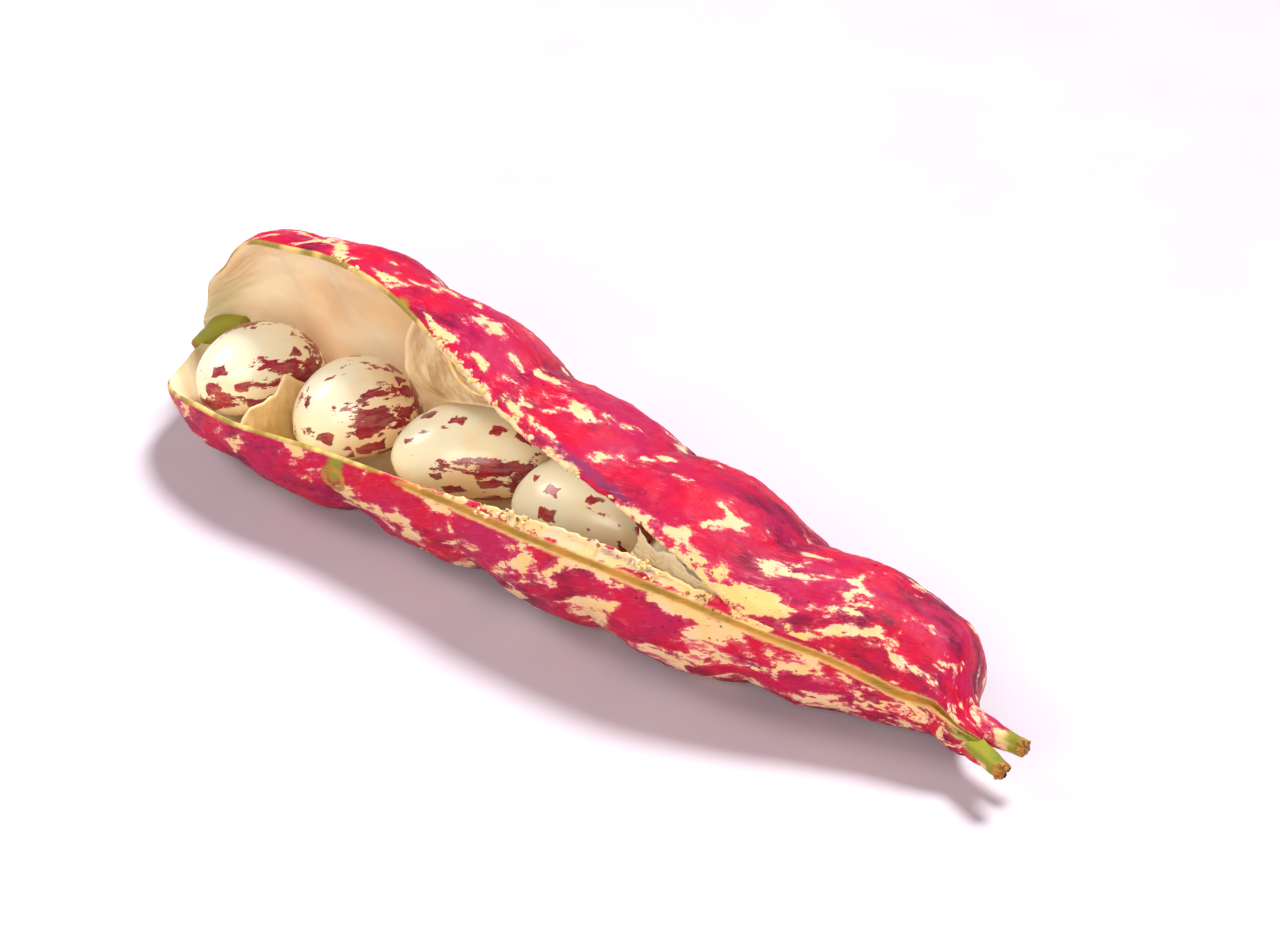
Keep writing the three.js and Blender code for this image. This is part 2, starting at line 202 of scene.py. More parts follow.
# Colours of the panel, in linear light: name, what it is for, and value.
COLOURS = (
    ("crimson", "Bright skin", (0.58, 0.003, 0.032)),
    ("magenta", "Pinker skin", (0.45, 0.007, 0.072)),
    # Maroon is also laid on the skin as painted shade, under the lower valve, at the back and in the waists.
    ("maroon", "Deep skin and specks", (0.11, 0.004, 0.032)),
    ("pink", "Veil round the patches", (0.78, 0.2, 0.24)),
    ("cream", "Pale patches", (0.86, 0.58, 0.38)),
    ("butter", "Yellower patches", (0.8, 0.56, 0.19)),
    ("olive", "Seams", (0.3, 0.18, 0.02)),
    ("orange", "Warmer seams", (0.56, 0.24, 0.04)),
    ("purple", "Bruise by the tear", (0.13, 0.035, 0.12)),
    ("green", "Stem and beak", (0.10, 0.15, 0.015)),
    ("lime", "Paler green", (0.29, 0.28, 0.03)),
    ("lining", "Inside of the pod", (0.96, 0.71, 0.44)),
    ("lining_pale", "Paler inside", (0.99, 0.86, 0.62)),
    ("lip", "Edge of the valves", (0.33, 0.24, 0.045)),
    ("bark", "Cut ends and flecks", (0.14, 0.06, 0.03)),
    ("ivory", "Seed coat", (0.95, 0.90, 0.67)),
    # ivory_warm is the warm clouds of the seed coat and also the painted shade on the patched side of each
    # bean.
    ("ivory_warm", "Warmer seed coat", (0.98, 0.72, 0.42)),
    ("bean_red", "Spots on the beans", (0.40, 0.004, 0.036)),
    ("bean_maroon", "Darker spots", (0.20, 0.002, 0.028)),
    ("rust", "Ring round the scar", (0.45, 0.14, 0.02)),
    ("membrane", "Loose inner skin", (0.46, 0.26, 0.11)),
    ("membrane_pale", "Hem of the loose skin", (0.84, 0.63, 0.36)),
)


# Curves and small helpers

def follow(stations, x):
    """Cubic through the stations, with each slope taken from its two neighbours."""
    places, values = (np.array(column, float) for column in zip(*stations))
    slopes = np.empty_like(values)
    slopes[1:-1] = (values[2:] - values[:-2]) / (places[2:] - places[:-2])
    slopes[0] = (values[1] - values[0]) / (places[1] - places[0])
    slopes[-1] = (values[-1] - values[-2]) / (places[-1] - places[-2])
    x = np.clip(x, places[0], places[-1])
    i = np.clip(np.searchsorted(places, x, side="right") - 1, 0, len(places) - 2)
    gap = places[i + 1] - places[i]
    t = (x - places[i]) / gap
    return (values[i] * (1 + 2 * t) * (1 - t) ** 2 + gap * slopes[i] * t * (1 - t) ** 2
            + values[i + 1] * t * t * (3 - 2 * t) + gap * slopes[i + 1] * t * t * (t - 1))


def ease(t):
    """Smooth step from 0 to 1."""
    t = np.clip(t, 0, 1)
    return t * t * (3 - 2 * t)


def bell(value, middle, width):
    """Gaussian bell of height 1."""
    return np.exp(-((value - middle) / width) ** 2)


def ripple(seed, *coordinates, octaves=4, roughness=0.55):
    """Smooth seeded wobble between about -1 and 1: a sum of sine waves in random directions, each
    octave twice as fine and weaker than the one before."""
    draw = np.random.default_rng(seed)
    total = 0
    weight = 1
    weights = 0
    for octave in range(octaves):
        for _ in range(3):
            direction = draw.normal(size=len(coordinates))
            direction *= 2 ** octave / np.linalg.norm(direction)
            phase = draw.uniform(0, 2 * math.pi)
            argument = sum(d * c for d, c in zip(direction, coordinates))
            total = total + weight * np.sin(2 * math.pi * argument + phase)
            weights += weight * 0.62
        weight *= roughness
    return total / weights


def place_in_frame(points):
    """Outline millimetres to frame metres."""
    return (points - BASE_MIDDLE) * MM


def wall():
    """Thickness of the pod's wall in millimetres."""
    return bpy.context.scene.pod_settings.wall_thickness / MM


# The wall of the pod

def walk_section(x):
    """Walks each section round from a little before the front seam: an ellipse whose upper half is
    turned back by the gape as it passes the back seam, found by adding up its tangents."""
    angle = np.linspace(-0.5, 2 * math.pi + 0.5, TURN_STEPS)[None, :]
    half_width = ((follow(BACK_SEAM, x) - follow(FRONT_SEAM, x)) / 2)[:, None]
    half_depth = follow(HALF_DEPTH, x)[:, None]
    gape = np.radians(np.maximum(follow(GAPE, x), 0))[:, None]
    spread = math.radians(HINGE_SPREAD)
    bend = -gape * ease((angle - math.pi + spread) / (2 * spread))
    dy = half_width * np.sin(angle)
    dz = -half_depth * np.cos(angle)
    ty = dy * np.cos(bend) - dz * np.sin(bend)
    tz = dy * np.sin(bend) + dz * np.cos(bend)
    step = angle[0, 1] - angle[0, 0]
    length = np.hypot(ty, tz)
    return angle[0], walked(ty, step), walked(tz, step), -tz / length, ty / length


def walked(pace, step):
    """Running total of a pace (N, M) over equal steps, from 0."""
    total = np.cumsum((pace[:, 1:] + pace[:, :-1]) / 2, 1) * step
    return np.concatenate((np.zeros((len(pace), 1)), total), 1)


def pod_surface(x, angle, inward, relief=0):
    """Points of the wall at places x (N) and angles (N, M) in radians, inward millimetres below the
    outer skin and relief millimetres above it. The waists press both skins in, the lining is
    thicker under the beans, and the belly is flattened where it meets the table."""
    walk, ys, zs, nys, nzs = walk_section(x)
    step = walk[1] - walk[0]
    spot = np.clip((angle - walk[0]) / step, 0, TURN_STEPS - 1.001)
    k = spot.astype(int)
    t = spot - k

    def pick(values):
        """The walked values at the angles asked for."""
        return np.take_along_axis(values, k, 1) * (1 - t) + np.take_along_axis(values, k + 1, 1) * t

    bottom = np.full((len(x), 1), (math.pi / 2 - walk[0]) / step)
    b = bottom.astype(int)
    by = np.take_along_axis(ys, b, 1)
    bz = np.take_along_axis(zs, b, 1)
    half_depth = follow(HALF_DEPTH, x)[:, None]
    middle = ((follow(BACK_SEAM, x) + follow(FRONT_SEAM, x)) / 2)[:, None]
    lift = follow(UNDERSIDE, x)[:, None] + half_depth
    lean = np.radians(follow(LEAN, x))[:, None]
    waist = sum(bell(x, place, WAIST_WIDTH) for place in WAISTS)[:, None]
    face = np.abs(np.sin(angle)) ** 1.5
    depth = bpy.context.scene.pod_settings.waist_depth / MM
    inside = np.minimum(inward * 2.5, 1)
    lining = inward + inside * (CUSHION * bell(np.degrees(angle), CUSHION_MIDDLE, CUSHION_SPREAD)
                                + PARTITION_DEPTH * waist * face)
    offset = lining + depth * waist * face - relief
    py = pick(ys) - by + pick(nys) * offset
    pz = pick(zs) - bz + pick(nzs) * offset - half_depth
    y = middle + py * np.cos(lean) - pz * np.sin(lean)
    z = lift + py * np.sin(lean) + pz * np.cos(lean)
    z = np.where(inside > 0.5, np.maximum(z, LOWEST_LINING), np.maximum(z, 0))
    return np.stack((np.broadcast_to(x[:, None], y.shape), y, z), -1)


def from_seam(x, angle):
    """Degrees from the front seam: positive over the lower valve, negative over the upper one. Towards
    the beak the seam climbs on to the top, so that it ends in the notch between the two stubs."""
    climb = SEAM_CLIMB * ease((x - 105) / 12) ** 1.2
    turned = np.degrees(angle) + climb[:, None] * np.cos(angle / 2) ** 2
    return (turned + 180) % 360 - 180


def lip_angles(x):
    """The angles of the two torn edges, in radians. Where the seam was torn and not merely opened,
    both edges are ragged; past the end of the split they meet."""
    low = follow(LOWER_LIP, x)
    high = np.where(x >= SPLIT_END, low + 360, follow(UPPER_LIP, x))
    torn = ease((x - 42) / 6) * ease((SPLIT_END - 1 - x) / 5)
    low = low - torn * (1.2 * ripple(3, x / 4.5) + 0.7 * ripple(4, x / 1.3))
    high = high + torn * (1.6 * ripple(5, x / 5) + 0.9 * ripple(6, x / 1.4))
    high = np.minimum(high, low + 360)
    return np.radians(low), np.radians(high)


def skin_relief(x, angle):
    """Millimetres that the outer skin stands proud: the seam's ridge with the groove that opens
    towards the beak, the back seam's fine ridge, sharp creases in the waists and soft dimples."""
    turn = from_seam(x, angle)
    along = x[:, None]
    ridge = SEAM_HEIGHT * bell(turn, 0, SEAM_WIDTH) + BACK_SEAM_HEIGHT * bell(np.abs(turn), 180, 5)
    groove = (0.25 + 1.1 * ease((along - 101) / 12)) * ease((along - 86) / 8) * bell(turn, -1, 3.2)
    groove = groove + 0.16 * ease((along - 42) / 5) * bell(turn, 0.5, 1.3)
    face = np.abs(np.sin(angle))
    slanted = along + 2.2 * np.cos(angle)
    crease = CREASE_DEPTH * sum(np.exp(-np.abs(slanted - place) / CREASE_WIDTH) for place in WAISTS)
    dimples = DIMPLES * ripple(11, along / 9, angle * 1.4)
    dimples = dimples + FINE_DIMPLES * ripple(12, along / 2.6, angle * 3.2)
    return ridge - groove - crease * face + dimples * (1 - 0.7 * bell(turn, 0, 9))


def wing_shift(x, angle, high):
    """Moves the corner of the upper valve at the stem end down and outwards, in millimetres, the more
    the nearer to its lip."""
    near_lip = ease(1 - (high[:, None] - angle) / math.radians(95))
    down = (bell(x, 4.6, 3.2)[:, None] * near_lip)[..., None] * np.array((0.7, -1.0, -1.9))
    out = (ease((6.5 - x) / 4.5)[:, None] * near_lip)[..., None] * np.array((-1.3, -0.9, 0))
    return down + out


def wall_at(x, angle, to_lip):
    """Thickness of the wall: less at the stem end and towards the lips, to_lip degrees away, with soft
    folds in the lining of the upper valve."""
    thickness = (wall() * (0.3 + 0.7 * ease((x - STEM_END) / 4)))[:, None]
    open_here = ease((SPLIT_END - 2 - x) / 6)[:, None]
    thinned = (0.55 + 0.2 * ease((x - 52) / 6))[:, None] * open_here
    thickness = thickness * (1 - thinned * np.exp(-to_lip / 7))
    fold = 0.3 * ripple(13, x[:, None] / 8, angle * 0.9, octaves=3)
    fold = fold + 0.7 * bell(x[:, None] + 2 * angle, 20.5, 1.4)
    thickness = thickness + fold * ease((angle - math.radians(195)) / 0.6) * (1 - np.exp(-to_lip / 14))
    return np.maximum(thickness, THINNEST_WALL)


def rim_points(outside, inside, neighbour, split):
    """Half circles from the outer to the inner edge of the wall, all (N, 3), which bulge away from the
    neighbour where the pod is split (N)."""
    turn = np.linspace(0, math.pi, RIM_STEPS + 2)[1:-1][None, :, None]
    middle = ((outside + inside) / 2)[:, None, :]
    radius = ((outside - inside) / 2)[:, None, :]
    away = (outside - neighbour)[:, None, :]
    away = away / np.maximum(np.linalg.norm(away, axis=-1, keepdims=True), 1e-6)
    bulge = np.linalg.norm(radius, axis=-1, keepdims=True) * split[:, None, None]
    return middle + radius * np.cos(turn) + away * bulge * np.sin(turn)


def ring_of(x, columns):
    """The closed outline of every section: the outer skin from the lower to the upper lip, round the
    upper rim, the lining back to the lower lip, and round the lower rim. Returns the points and, for
    each, its angle and how far through the wall it lies."""
    low, high = lip_angles(x)
    t = np.linspace(0, 1, columns + 1)[None, :]
    across = t - 0.12 * np.sin(2 * math.pi * t)
    near = np.minimum(across, 1 - across)
    angle = low[:, None] + (high - low)[:, None] * across
    thickness = wall_at(x, angle, np.degrees((high - low)[:, None]) * near)
    relief = skin_relief(x, angle) * (0.35 + 0.65 * ease(near * columns / 5))
    wing = wing_shift(x, angle, high)
    outer = pod_surface(x, angle, np.zeros_like(angle), relief) + wing
    inner = pod_surface(x, angle, thickness) + wing
    drawn = 0.98 * ease((x - CAVITY_NARROWS) / (CAVITY_GONE - CAVITY_NARROWS))
    inner = inner + (inner.mean(1, keepdims=True) - inner) * drawn[:, None, None]
    upper_rim = rim_points(outer[:, -1], inner[:, -1], outer[:, -2], x < SPLIT_END)
    lower_rim = rim_points(outer[:, 0], inner[:, 0], outer[:, 1], x < SPLIT_END)
    points = np.concatenate((outer, upper_rim, inner[:, ::-1], lower_rim[:, ::-1]), 1)
    steps = np.ones((1, RIM_STEPS))
    angles = np.concatenate((angle, high[:, None] * steps, angle[:, ::-1], low[:, None] * steps), 1)
    through = np.linspace(0, 1, RIM_STEPS + 2)[1:-1]
    depth = np.concatenate((np.zeros(columns + 1), through, np.ones(columns + 1), through[::-1]))
    return points, angles, np.ones((len(x), 1)) * depth


def grid_quads(rows, columns, closed=True):
    """Quads (N, 4) between neighbouring rows of points, each row closed to a ring or left open."""
    i, j = np.meshgrid(np.arange(rows - 1), np.arange(columns if closed else columns - 1), indexing="ij")
    k = (j + 1) % columns
    quads = (i * columns + j, i * columns + k, (i + 1) * columns + k, (i + 1) * columns + j)
    return np.stack(quads, -1).reshape(-1, 4)


def ring_faces(rows, columns):
    """Quads between neighbouring rings, and the two ends closed across the wall."""
    ring = 2 * (columns + 1) + 2 * RIM_STEPS
    faces = grid_quads(rows, ring).tolist()
    column = np.arange(columns)
    across = 2 * columns + 1 + RIM_STEPS - column
    for first, flip in ((0, False), ((rows - 1) * ring, True)):
        ends = np.stack((column, across, across - 1, column + 1), -1) + first
        faces += (ends[:, ::-1] if flip else ends).tolist()
        upper = np.arange(columns, columns + RIM_STEPS + 2) + first
        lower = np.append(np.arange(ring - RIM_STEPS - 1, ring), 0) + first
        for rim in (upper, lower):
            faces.append((rim if flip else rim[::-1]).tolist())
    return faces


def mean_radius(x):
    """Half the mean of a section's width and depth, in millimetres, but never under 4."""
    width = follow(BACK_SEAM, x) - follow(FRONT_SEAM, x)
    return np.maximum(width / 4 + follow(HALF_DEPTH, x) / 2, 4)


def fibre_map(x, angle):
    """Map coordinates in centimetres whose first axis runs with the fibres, which cross the front seam
    aslant: away from it on the upper valve, and towards it on the lower one. Where the pod narrows, the
    length is counted up faster by as much, so that the patches shrink and keep their proportions."""
    slant = math.radians(FIBRE_SLANT)
    slope = np.gradient(follow(BACK_SEAM, x), x)
    pace = 10 / mean_radius(x) * np.sqrt(1 + slope ** 2 / 2)
    counted = np.concatenate(((0,), np.cumsum((pace[1:] + pace[:-1]) / 2 * np.diff(x))))
    along = counted[:, None] + 0 * angle
    around = -angle * 10
    return np.stack((along * math.cos(slant) + around * math.sin(slant),
                     -along * math.sin(slant) + around * math.cos(slant)), -1) / 10


def make_mesh(name, points, faces, smooth=True):
    """A mesh object at the origin from frame points in metres."""
    mesh = bpy.data.meshes.new(name)
    mesh.from_pydata(points.reshape(-1, 3).tolist(), [], faces)
    mesh.validate()
    mesh.polygons.foreach_set("use_smooth", np.full(len(mesh.polygons), smooth))
    piece = bpy.data.objects.new(name, mesh)
    bpy.context.collection.objects.link(piece)
    return piece


def store(piece, **fields):
    """Keeps numbers for each vertex under their names, for the material to read."""
    for name, values in fields.items():
        layer = piece.data.attributes.new(name, "FLOAT", "POINT")
        layer.data.foreach_set("value", np.ascontiguousarray(values, np.float32).ravel())


def store_vector(piece, name, values):
    """Keeps one vector for each vertex, for the material to read."""
    layer = piece.data.attributes.new(name, "FLOAT_VECTOR", "POINT")
    layer.data.foreach_set("vector", np.ascontiguousarray(values, np.float32).ravel())


def store_map(piece, name, values):
    """Keeps a map coordinate for each vertex as a UV map."""
    layer = piece.data.uv_layers.new(name=name)
    corners = np.empty(len(piece.data.loops), np.int32)
    piece.data.loops.foreach_get("vertex_index", corners)
    layer.data.foreach_set("uv", values.reshape(-1, 2)[corners].astype(np.float32).ravel())


# Node helpers

def node(tree, kind, **settings):
    """A new node with its properties set."""
    made = tree.nodes.new(kind)
    for key, value in settings.items():
        setattr(made, key, value)
    return made


def feed(tree, socket, source):
    """Joins a source socket, or sets a plain value."""
    if isinstance(source, bpy.types.NodeSocket):
        tree.links.new(source, socket)
    elif socket.type == "RGBA":
        socket.default_value = (*source, 1)
    else:
        socket.default_value = source


def sums(tree, operation, first, second, third=0.5, clamp=False):
    """A Math node."""
    made = node(tree, "ShaderNodeMath", operation=operation, use_clamp=clamp)
    for socket, source in zip(made.inputs, (first, second, third)):
        feed(tree, socket, source)
    return made.outputs[0]


def plus(tree, first, second):
    """A Math node that adds."""
    return sums(tree, "ADD", first, second)


def times(tree, first, second):
    """A Math node that multiplies."""
    return sums(tree, "MULTIPLY", first, second)


def blend(tree, factor, first, second):
    """A colour Mix node."""
    made = node(tree, "ShaderNodeMix", data_type="RGBA", clamp_factor=True)
    feed(tree, made.inputs[0], factor)
    feed(tree, made.inputs[6], first)
    feed(tree, made.inputs[7], second)
    return made.outputs[2]


def between(tree, value, low, high, out_low=0.0, out_high=1.0):
    """A smooth Map Range node from low..high to out_low..out_high."""
    made = node(tree, "ShaderNodeMapRange", interpolation_type="SMOOTHSTEP")
    for socket, source in zip(made.inputs, (value, low, high, out_low, out_high)):
        feed(tree, socket, source)
    return made.outputs[0]


def noise(tree, vector, scale, detail=4.0, roughness=0.55, distortion=0.0):
    """A Noise texture's value."""
    made = node(tree, "ShaderNodeTexNoise")
    for name, source in (("Vector", vector), ("Scale", scale), ("Detail", detail),
                         ("Roughness", roughness), ("Distortion", distortion)):
        feed(tree, made.inputs[name], source)
    return made.outputs["Fac"]


def stretched(tree, vector, scale, shift=(0, 0, 0)):
    """Coordinates scaled and moved by a Mapping node."""
    made = node(tree, "ShaderNodeMapping")
    feed(tree, made.inputs["Vector"], vector)
    made.inputs["Scale"].default_value = scale
    made.inputs["Location"].default_value = shift
    return made.outputs[0]


def stored(tree, name):
    """A vertex number kept by store."""
    return node(tree, "ShaderNodeAttribute", attribute_name=name).outputs["Fac"]


def stored_vector(tree, name):
    """A vertex vector kept by store_vector."""
    return node(tree, "ShaderNodeAttribute", attribute_name=name).outputs["Vector"]


def new_group(name, inputs, outputs):
    """A shader node group with its sockets made, and its two end nodes."""
    group = bpy.data.node_groups.new(name, "ShaderNodeTree")
    for direction, sockets in (("INPUT", inputs), ("OUTPUT", outputs)):
        for label, kind, default in sockets:
            socket = group.interface.new_socket(label, in_out=direction, socket_type=kind)
            if default is not None:
                socket.default_value = default
    return group, group.nodes.new("NodeGroupInput"), group.nodes.new("NodeGroupOutput")


FLOAT, VECTOR = "NodeSocketFloat", "NodeSocketVector"


def patches_group():
    """Jagged patches: fine noise is stretched along the map's first axis and cut at a level, which
    the bias moves. Gives the patches and a wider halo round them."""
    found = bpy.data.node_groups.get("Jagged patches")
    if found:
        return found
    tree, source, result = new_group(
        "Jagged patches",
        (("Vector", VECTOR, None), ("Scale", FLOAT, 1.0), ("Bias", FLOAT, 0.0), ("Softness", FLOAT, 0.03)),
        (("Patches", FLOAT, None), ("Halo", FLOAT, None)))
    vector, scale, bias, softness = source.outputs[:4]
    broad = noise(tree, vector, scale, 2.0, 0.5, 0.4)
    finer = times(tree, scale, 3.2)
    jagged = noise(tree, vector, finer, 5.0, 0.72)
    level = plus(tree, times(tree, broad, 0.62), times(tree, jagged, 0.38))
    level = plus(tree, level, bias)
    upper = plus(tree, softness, 0.56)
    feed(tree, result.inputs["Patches"], between(tree, level, 0.56, upper))
    feed(tree, result.inputs["Halo"], between(tree, level, 0.51, 0.6))
    return tree


def first_channel(tree, colour):
    """The red part of a colour, as a number."""
    split = node(tree, "ShaderNodeSeparateColor")
    feed(tree, split.inputs[0], colour)
    return split.outputs[0]


def add_bump(tree, shader, height, strength, distance):
    """Fine relief that only shades the surface, distance metres high."""
    bump = node(tree, "ShaderNodeBump")
    bump.inputs["Strength"].default_value = strength
    bump.inputs["Distance"].default_value = distance
    feed(tree, bump.inputs["Height"], height)
    feed(tree, shader.inputs["Normal"], bump.outputs[0])


def use_group(tree, group, **sources):
    """Places a node group and feeds its inputs by name."""
    made = node(tree, "ShaderNodeGroup", node_tree=group)
    for name, source in sources.items():
        feed(tree, made.inputs[name], source)
    return made


# Materials

def shared(name, build):
    """The material of this name, which is built for the first piece that asks for it."""
    return bpy.data.materials.get(name) or build(name)


def new_material(name, **constants):
    """A material with a Principled shader whose constant sockets are set."""
    material = bpy.data.materials.new(name)
    material.use_nodes = True
    tree = material.node_tree
    shader = tree.nodes["Principled BSDF"]
    for label, value in constants.items():
        shader.inputs[label.replace("_", " ")].default_value = value
    return material, tree, shader


def stain(tree, under, over, name, grain, weight, low, high, most=1.0):
    """Lays a colour over another where a stored number, roughened by a grain, is high."""
    level = plus(tree, stored(tree, name), times(tree, grain, weight))
    return blend(tree, between(tree, level, low, high, 0.0, most), under, over)


def red_skin(tree, uv, colours):
    """Crimson with pinker clouds, deep maroon smudges that thicken into painted shade where the stored
    shade is high, and a veil of fine pale streaks.
    """
    clouds = between(tree, noise(tree, stretched(tree, uv, (0.6, 0.9, 1)), 1.6, 4.0, 0.6), 0.36, 0.64)
    skin = blend(tree, clouds, colours.crimson, colours.magenta)
    grain = noise(tree, stretched(tree, uv, (0.5, 3.0, 1), (7, 3, 0)), 7.0, 5.0, 0.65)
    dusk = noise(tree, stretched(tree, uv, (0.5, 1, 1), (7, 3, 0)), 2.2, 6.0, 0.65)
    # Painted shade: the stored shade pushes the smudges towards maroon on the underside of the lower valve,
    # at the back, on the beak lobe and in the waists.
    dusk = between(tree, plus(tree, dusk, times(tree, stored(tree, "shade"), 0.12)), 0.5, 0.72)
    dusk = times(tree, dusk, between(tree, grain, 0.3, 0.62, 0.45, 0.95))
    skin = blend(tree, dusk, skin, colours.maroon)
    streaks = noise(tree, stretched(tree, uv, (0.5, 4.2, 1), (2, 5, 0)), 9.0, 5.0, 0.7)
    veil = times(tree, between(tree, streaks, 0.56, 0.7), stored(tree, "veil"))
    return blend(tree, veil, skin, colours.pink)


def pale_patches(tree, uv, colours, skin):
    """Jagged cream and yellow patches with pink edges, broken by flecks of the skin. Returns the skin
    with them, and where they are."""
    cream = use_group(tree, patches_group(), Vector=stretched(tree, uv, (0.62, 1.1, 1)), Scale=2.7,
                      Bias=stored(tree, "cream"), Softness=0.02)
    skin = blend(tree, times(tree, cream.outputs["Halo"], 0.55), skin, colours.pink)
    warm = between(tree, noise(tree, uv, 4.0, 3.0), 0.35, 0.65)
    warm = sums(tree, "ADD", times(tree, warm, 0.6), stored(tree, "yellow"), clamp=True)
    pale = blend(tree, warm, colours.cream, colours.butter)
    flecks = use_group(tree, patches_group(), Vector=stretched(tree, uv, (0.55, 1.2, 1), (3, 8, 0)),
                       Scale=5.5, Bias=stored(tree, "fleck"), Softness=0.03)
    pale = blend(tree, times(tree, flecks.outputs["Halo"], 0.35), pale, colours.pink)
    pale = blend(tree, flecks.outputs["Patches"], pale, skin)
    patches = cream.outputs["Patches"]
    return blend(tree, patches, skin, pale), patches


def dark_specks(tree, uv):
    """Where the small round specks are: a Voronoi texture's cells, of which most are left empty."""
    dots = node(tree, "ShaderNodeTexVoronoi", feature="F1")
    feed(tree, dots.inputs["Vector"], uv)
    dots.inputs["Scale"].default_value = 9
    rare = between(tree, first_channel(tree, dots.outputs["Color"]), 0.55, 0.57)
    speck = times(tree, between(tree, dots.outputs["Distance"], 0.08, 0.18, 1.0, 0.0), rare)
    return times(tree, speck, 0.85)


def marked_skin(tree, uv, colours, skin, ragged):
    """The skin with its dark specks, a bruise by the tear, green ends and olive seams."""
    skin = blend(tree, dark_specks(tree, uv), skin, colours.maroon)
    skin = stain(tree, skin, colours.butter, "seam", ragged, 0.7, 0.8, 1.2, 0.8)
    skin = stain(tree, skin, colours.purple, "bruise", ragged, 2.2, 1.45, 2.15, 0.72)
    leaf = between(tree, noise(tree, uv, 2.0, 3.0), 0.2, 0.62)
    green = blend(tree, leaf, colours.green, colours.lime)
    skin = stain(tree, skin, green, "green", ragged, 0.4, 0.5, 0.95)
    hairs = noise(tree, stretched(tree, uv, (0.6, 9, 1), (4, 1, 0)), 5.0, 4.0, 0.6)
    mixed = plus(tree, times(tree, noise(tree, uv, 2.0, 3.0), 0.6), times(tree, hairs, 0.4))
    olive = blend(tree, between(tree, mixed, 0.4, 0.58), colours.olive, colours.orange)
    return stain(tree, skin, olive, "line", hairs, 0.7, 0.7, 1.25, 0.95)


def lined_skin(tree, uv, colours, skin, ragged):
    """The skin with the peach lining on its inner side, the edges of the valves and the cut ends."""
    soft = noise(tree, stretched(tree, uv, (0.5, 1, 1)), 1.3, 5.0, 0.55)
    lining = blend(tree, between(tree, soft, 0.35, 0.62), colours.lining, colours.lining_pale)
    lining = blend(tree, times(tree, stored(tree, "green"), 0.5), lining, colours.lime)
    colour = stain(tree, skin, lining, "inside", ragged, 0.3, 0.42, 0.85)
    patchy = noise(tree, stretched(tree, uv, (1.5, 0.4, 1)), 2.2, 3.0)
    rim = blend(tree, between(tree, patchy, 0.4, 0.68), colours.lip, colours.butter)
    colour = stain(tree, colour, rim, "lip", ragged, 0.3, 0.55, 0.9)
    cut = blend(tree, between(tree, ragged, 0.35, 0.62), colours.bark, colours.orange)
    return blend(tree, stored(tree, "cut"), colour, cut)


def skin_material(name):
    """Pod skin and lining: mottled crimson and cream outside, peach inside."""
    colours = bpy.context.scene.pod_settings
    material, tree, shader = new_material(
        name, Subsurface_Weight=0.05, Subsurface_Radius=(1.0, 0.45, 0.25), Subsurface_Scale=0.0012,
        Specular_IOR_Level=0.17)
    uv = node(tree, "ShaderNodeUVMap", uv_map="fibres").outputs[0]
    ragged = noise(tree, stretched(tree, uv, (1, 2.4, 1)), 8.0, 4.0, 0.65)
    skin, patches = pale_patches(tree, uv, colours, red_skin(tree, uv, colours))
    skin = marked_skin(tree, uv, colours, skin, ragged)
    feed(tree, shader.inputs["Base Color"], lined_skin(tree, uv, colours, skin, ragged))
    gloss = noise(tree, uv, 14.0, 3.0)
    feed(tree, shader.inputs["Roughness"], between(tree, gloss, 0.3, 0.7, 0.38, 0.56))
    threads = noise(tree, stretched(tree, uv, (1.0, 7, 1)), 12.0, 4.0, 0.6)
    pits = noise(tree, uv, 40.0, 3.0, 0.6)
    relief = plus(tree, times(tree, threads, 0.7), times(tree, pits, 0.3))
    add_bump(tree, shader, plus(tree, relief, times(tree, patches, 0.2)), 0.35, 0.00025)
    return material


def wobbled(tree, place):
    """A place moved a little by noise and turned, so that cells round it have crooked sides."""
    wobble = node(tree, "ShaderNodeTexNoise")
    feed(tree, wobble.inputs["Vector"], place)
    wobble.inputs["Scale"].default_value = 8
    wobble.inputs["Detail"].default_value = 3
    shifted = node(tree, "ShaderNodeMix", data_type="VECTOR")
    for socket, source in zip((0, 4, 5), (0.1, place, wobble.outputs["Color"])):
        feed(tree, shifted.inputs[socket], source)
    turned = node(tree, "ShaderNodeMapping")
    feed(tree, turned.inputs["Vector"], shifted.outputs[1])
    turned.inputs["Rotation"].default_value = (0.4, 0.25, 0.3)
    turned.inputs["Scale"].default_value = (0.62, 1.15, 1.1)
    return turned.outputs[0]


def bean_dabs(tree, place, side):
    """Small angular marks: cells of a Voronoi texture, each marked by chance and with a size of its
    own. Both grow towards the patched side."""
    cells = node(tree, "ShaderNodeTexVoronoi", feature="F1", distance="CHEBYCHEV")
    feed(tree, cells.inputs["Vector"], wobbled(tree, place))
    cells.inputs["Scale"].default_value = 3.9
    chance = first_channel(tree, cells.outputs["Color"])
    size = plus(tree, sums(tree, "MULTIPLY_ADD", side, 0.06, 0.12), times(tree, chance, 0.28))
    dab = between(tree, sums(tree, "SUBTRACT", size, cells.outputs["Distance"]), 0.0, 0.03)
    often = sums(tree, "MULTIPLY_ADD", side, 0.15, 0.8)
    return times(tree, dab, between(tree, sums(tree, "SUBTRACT", often, chance), 0.0, 0.01))


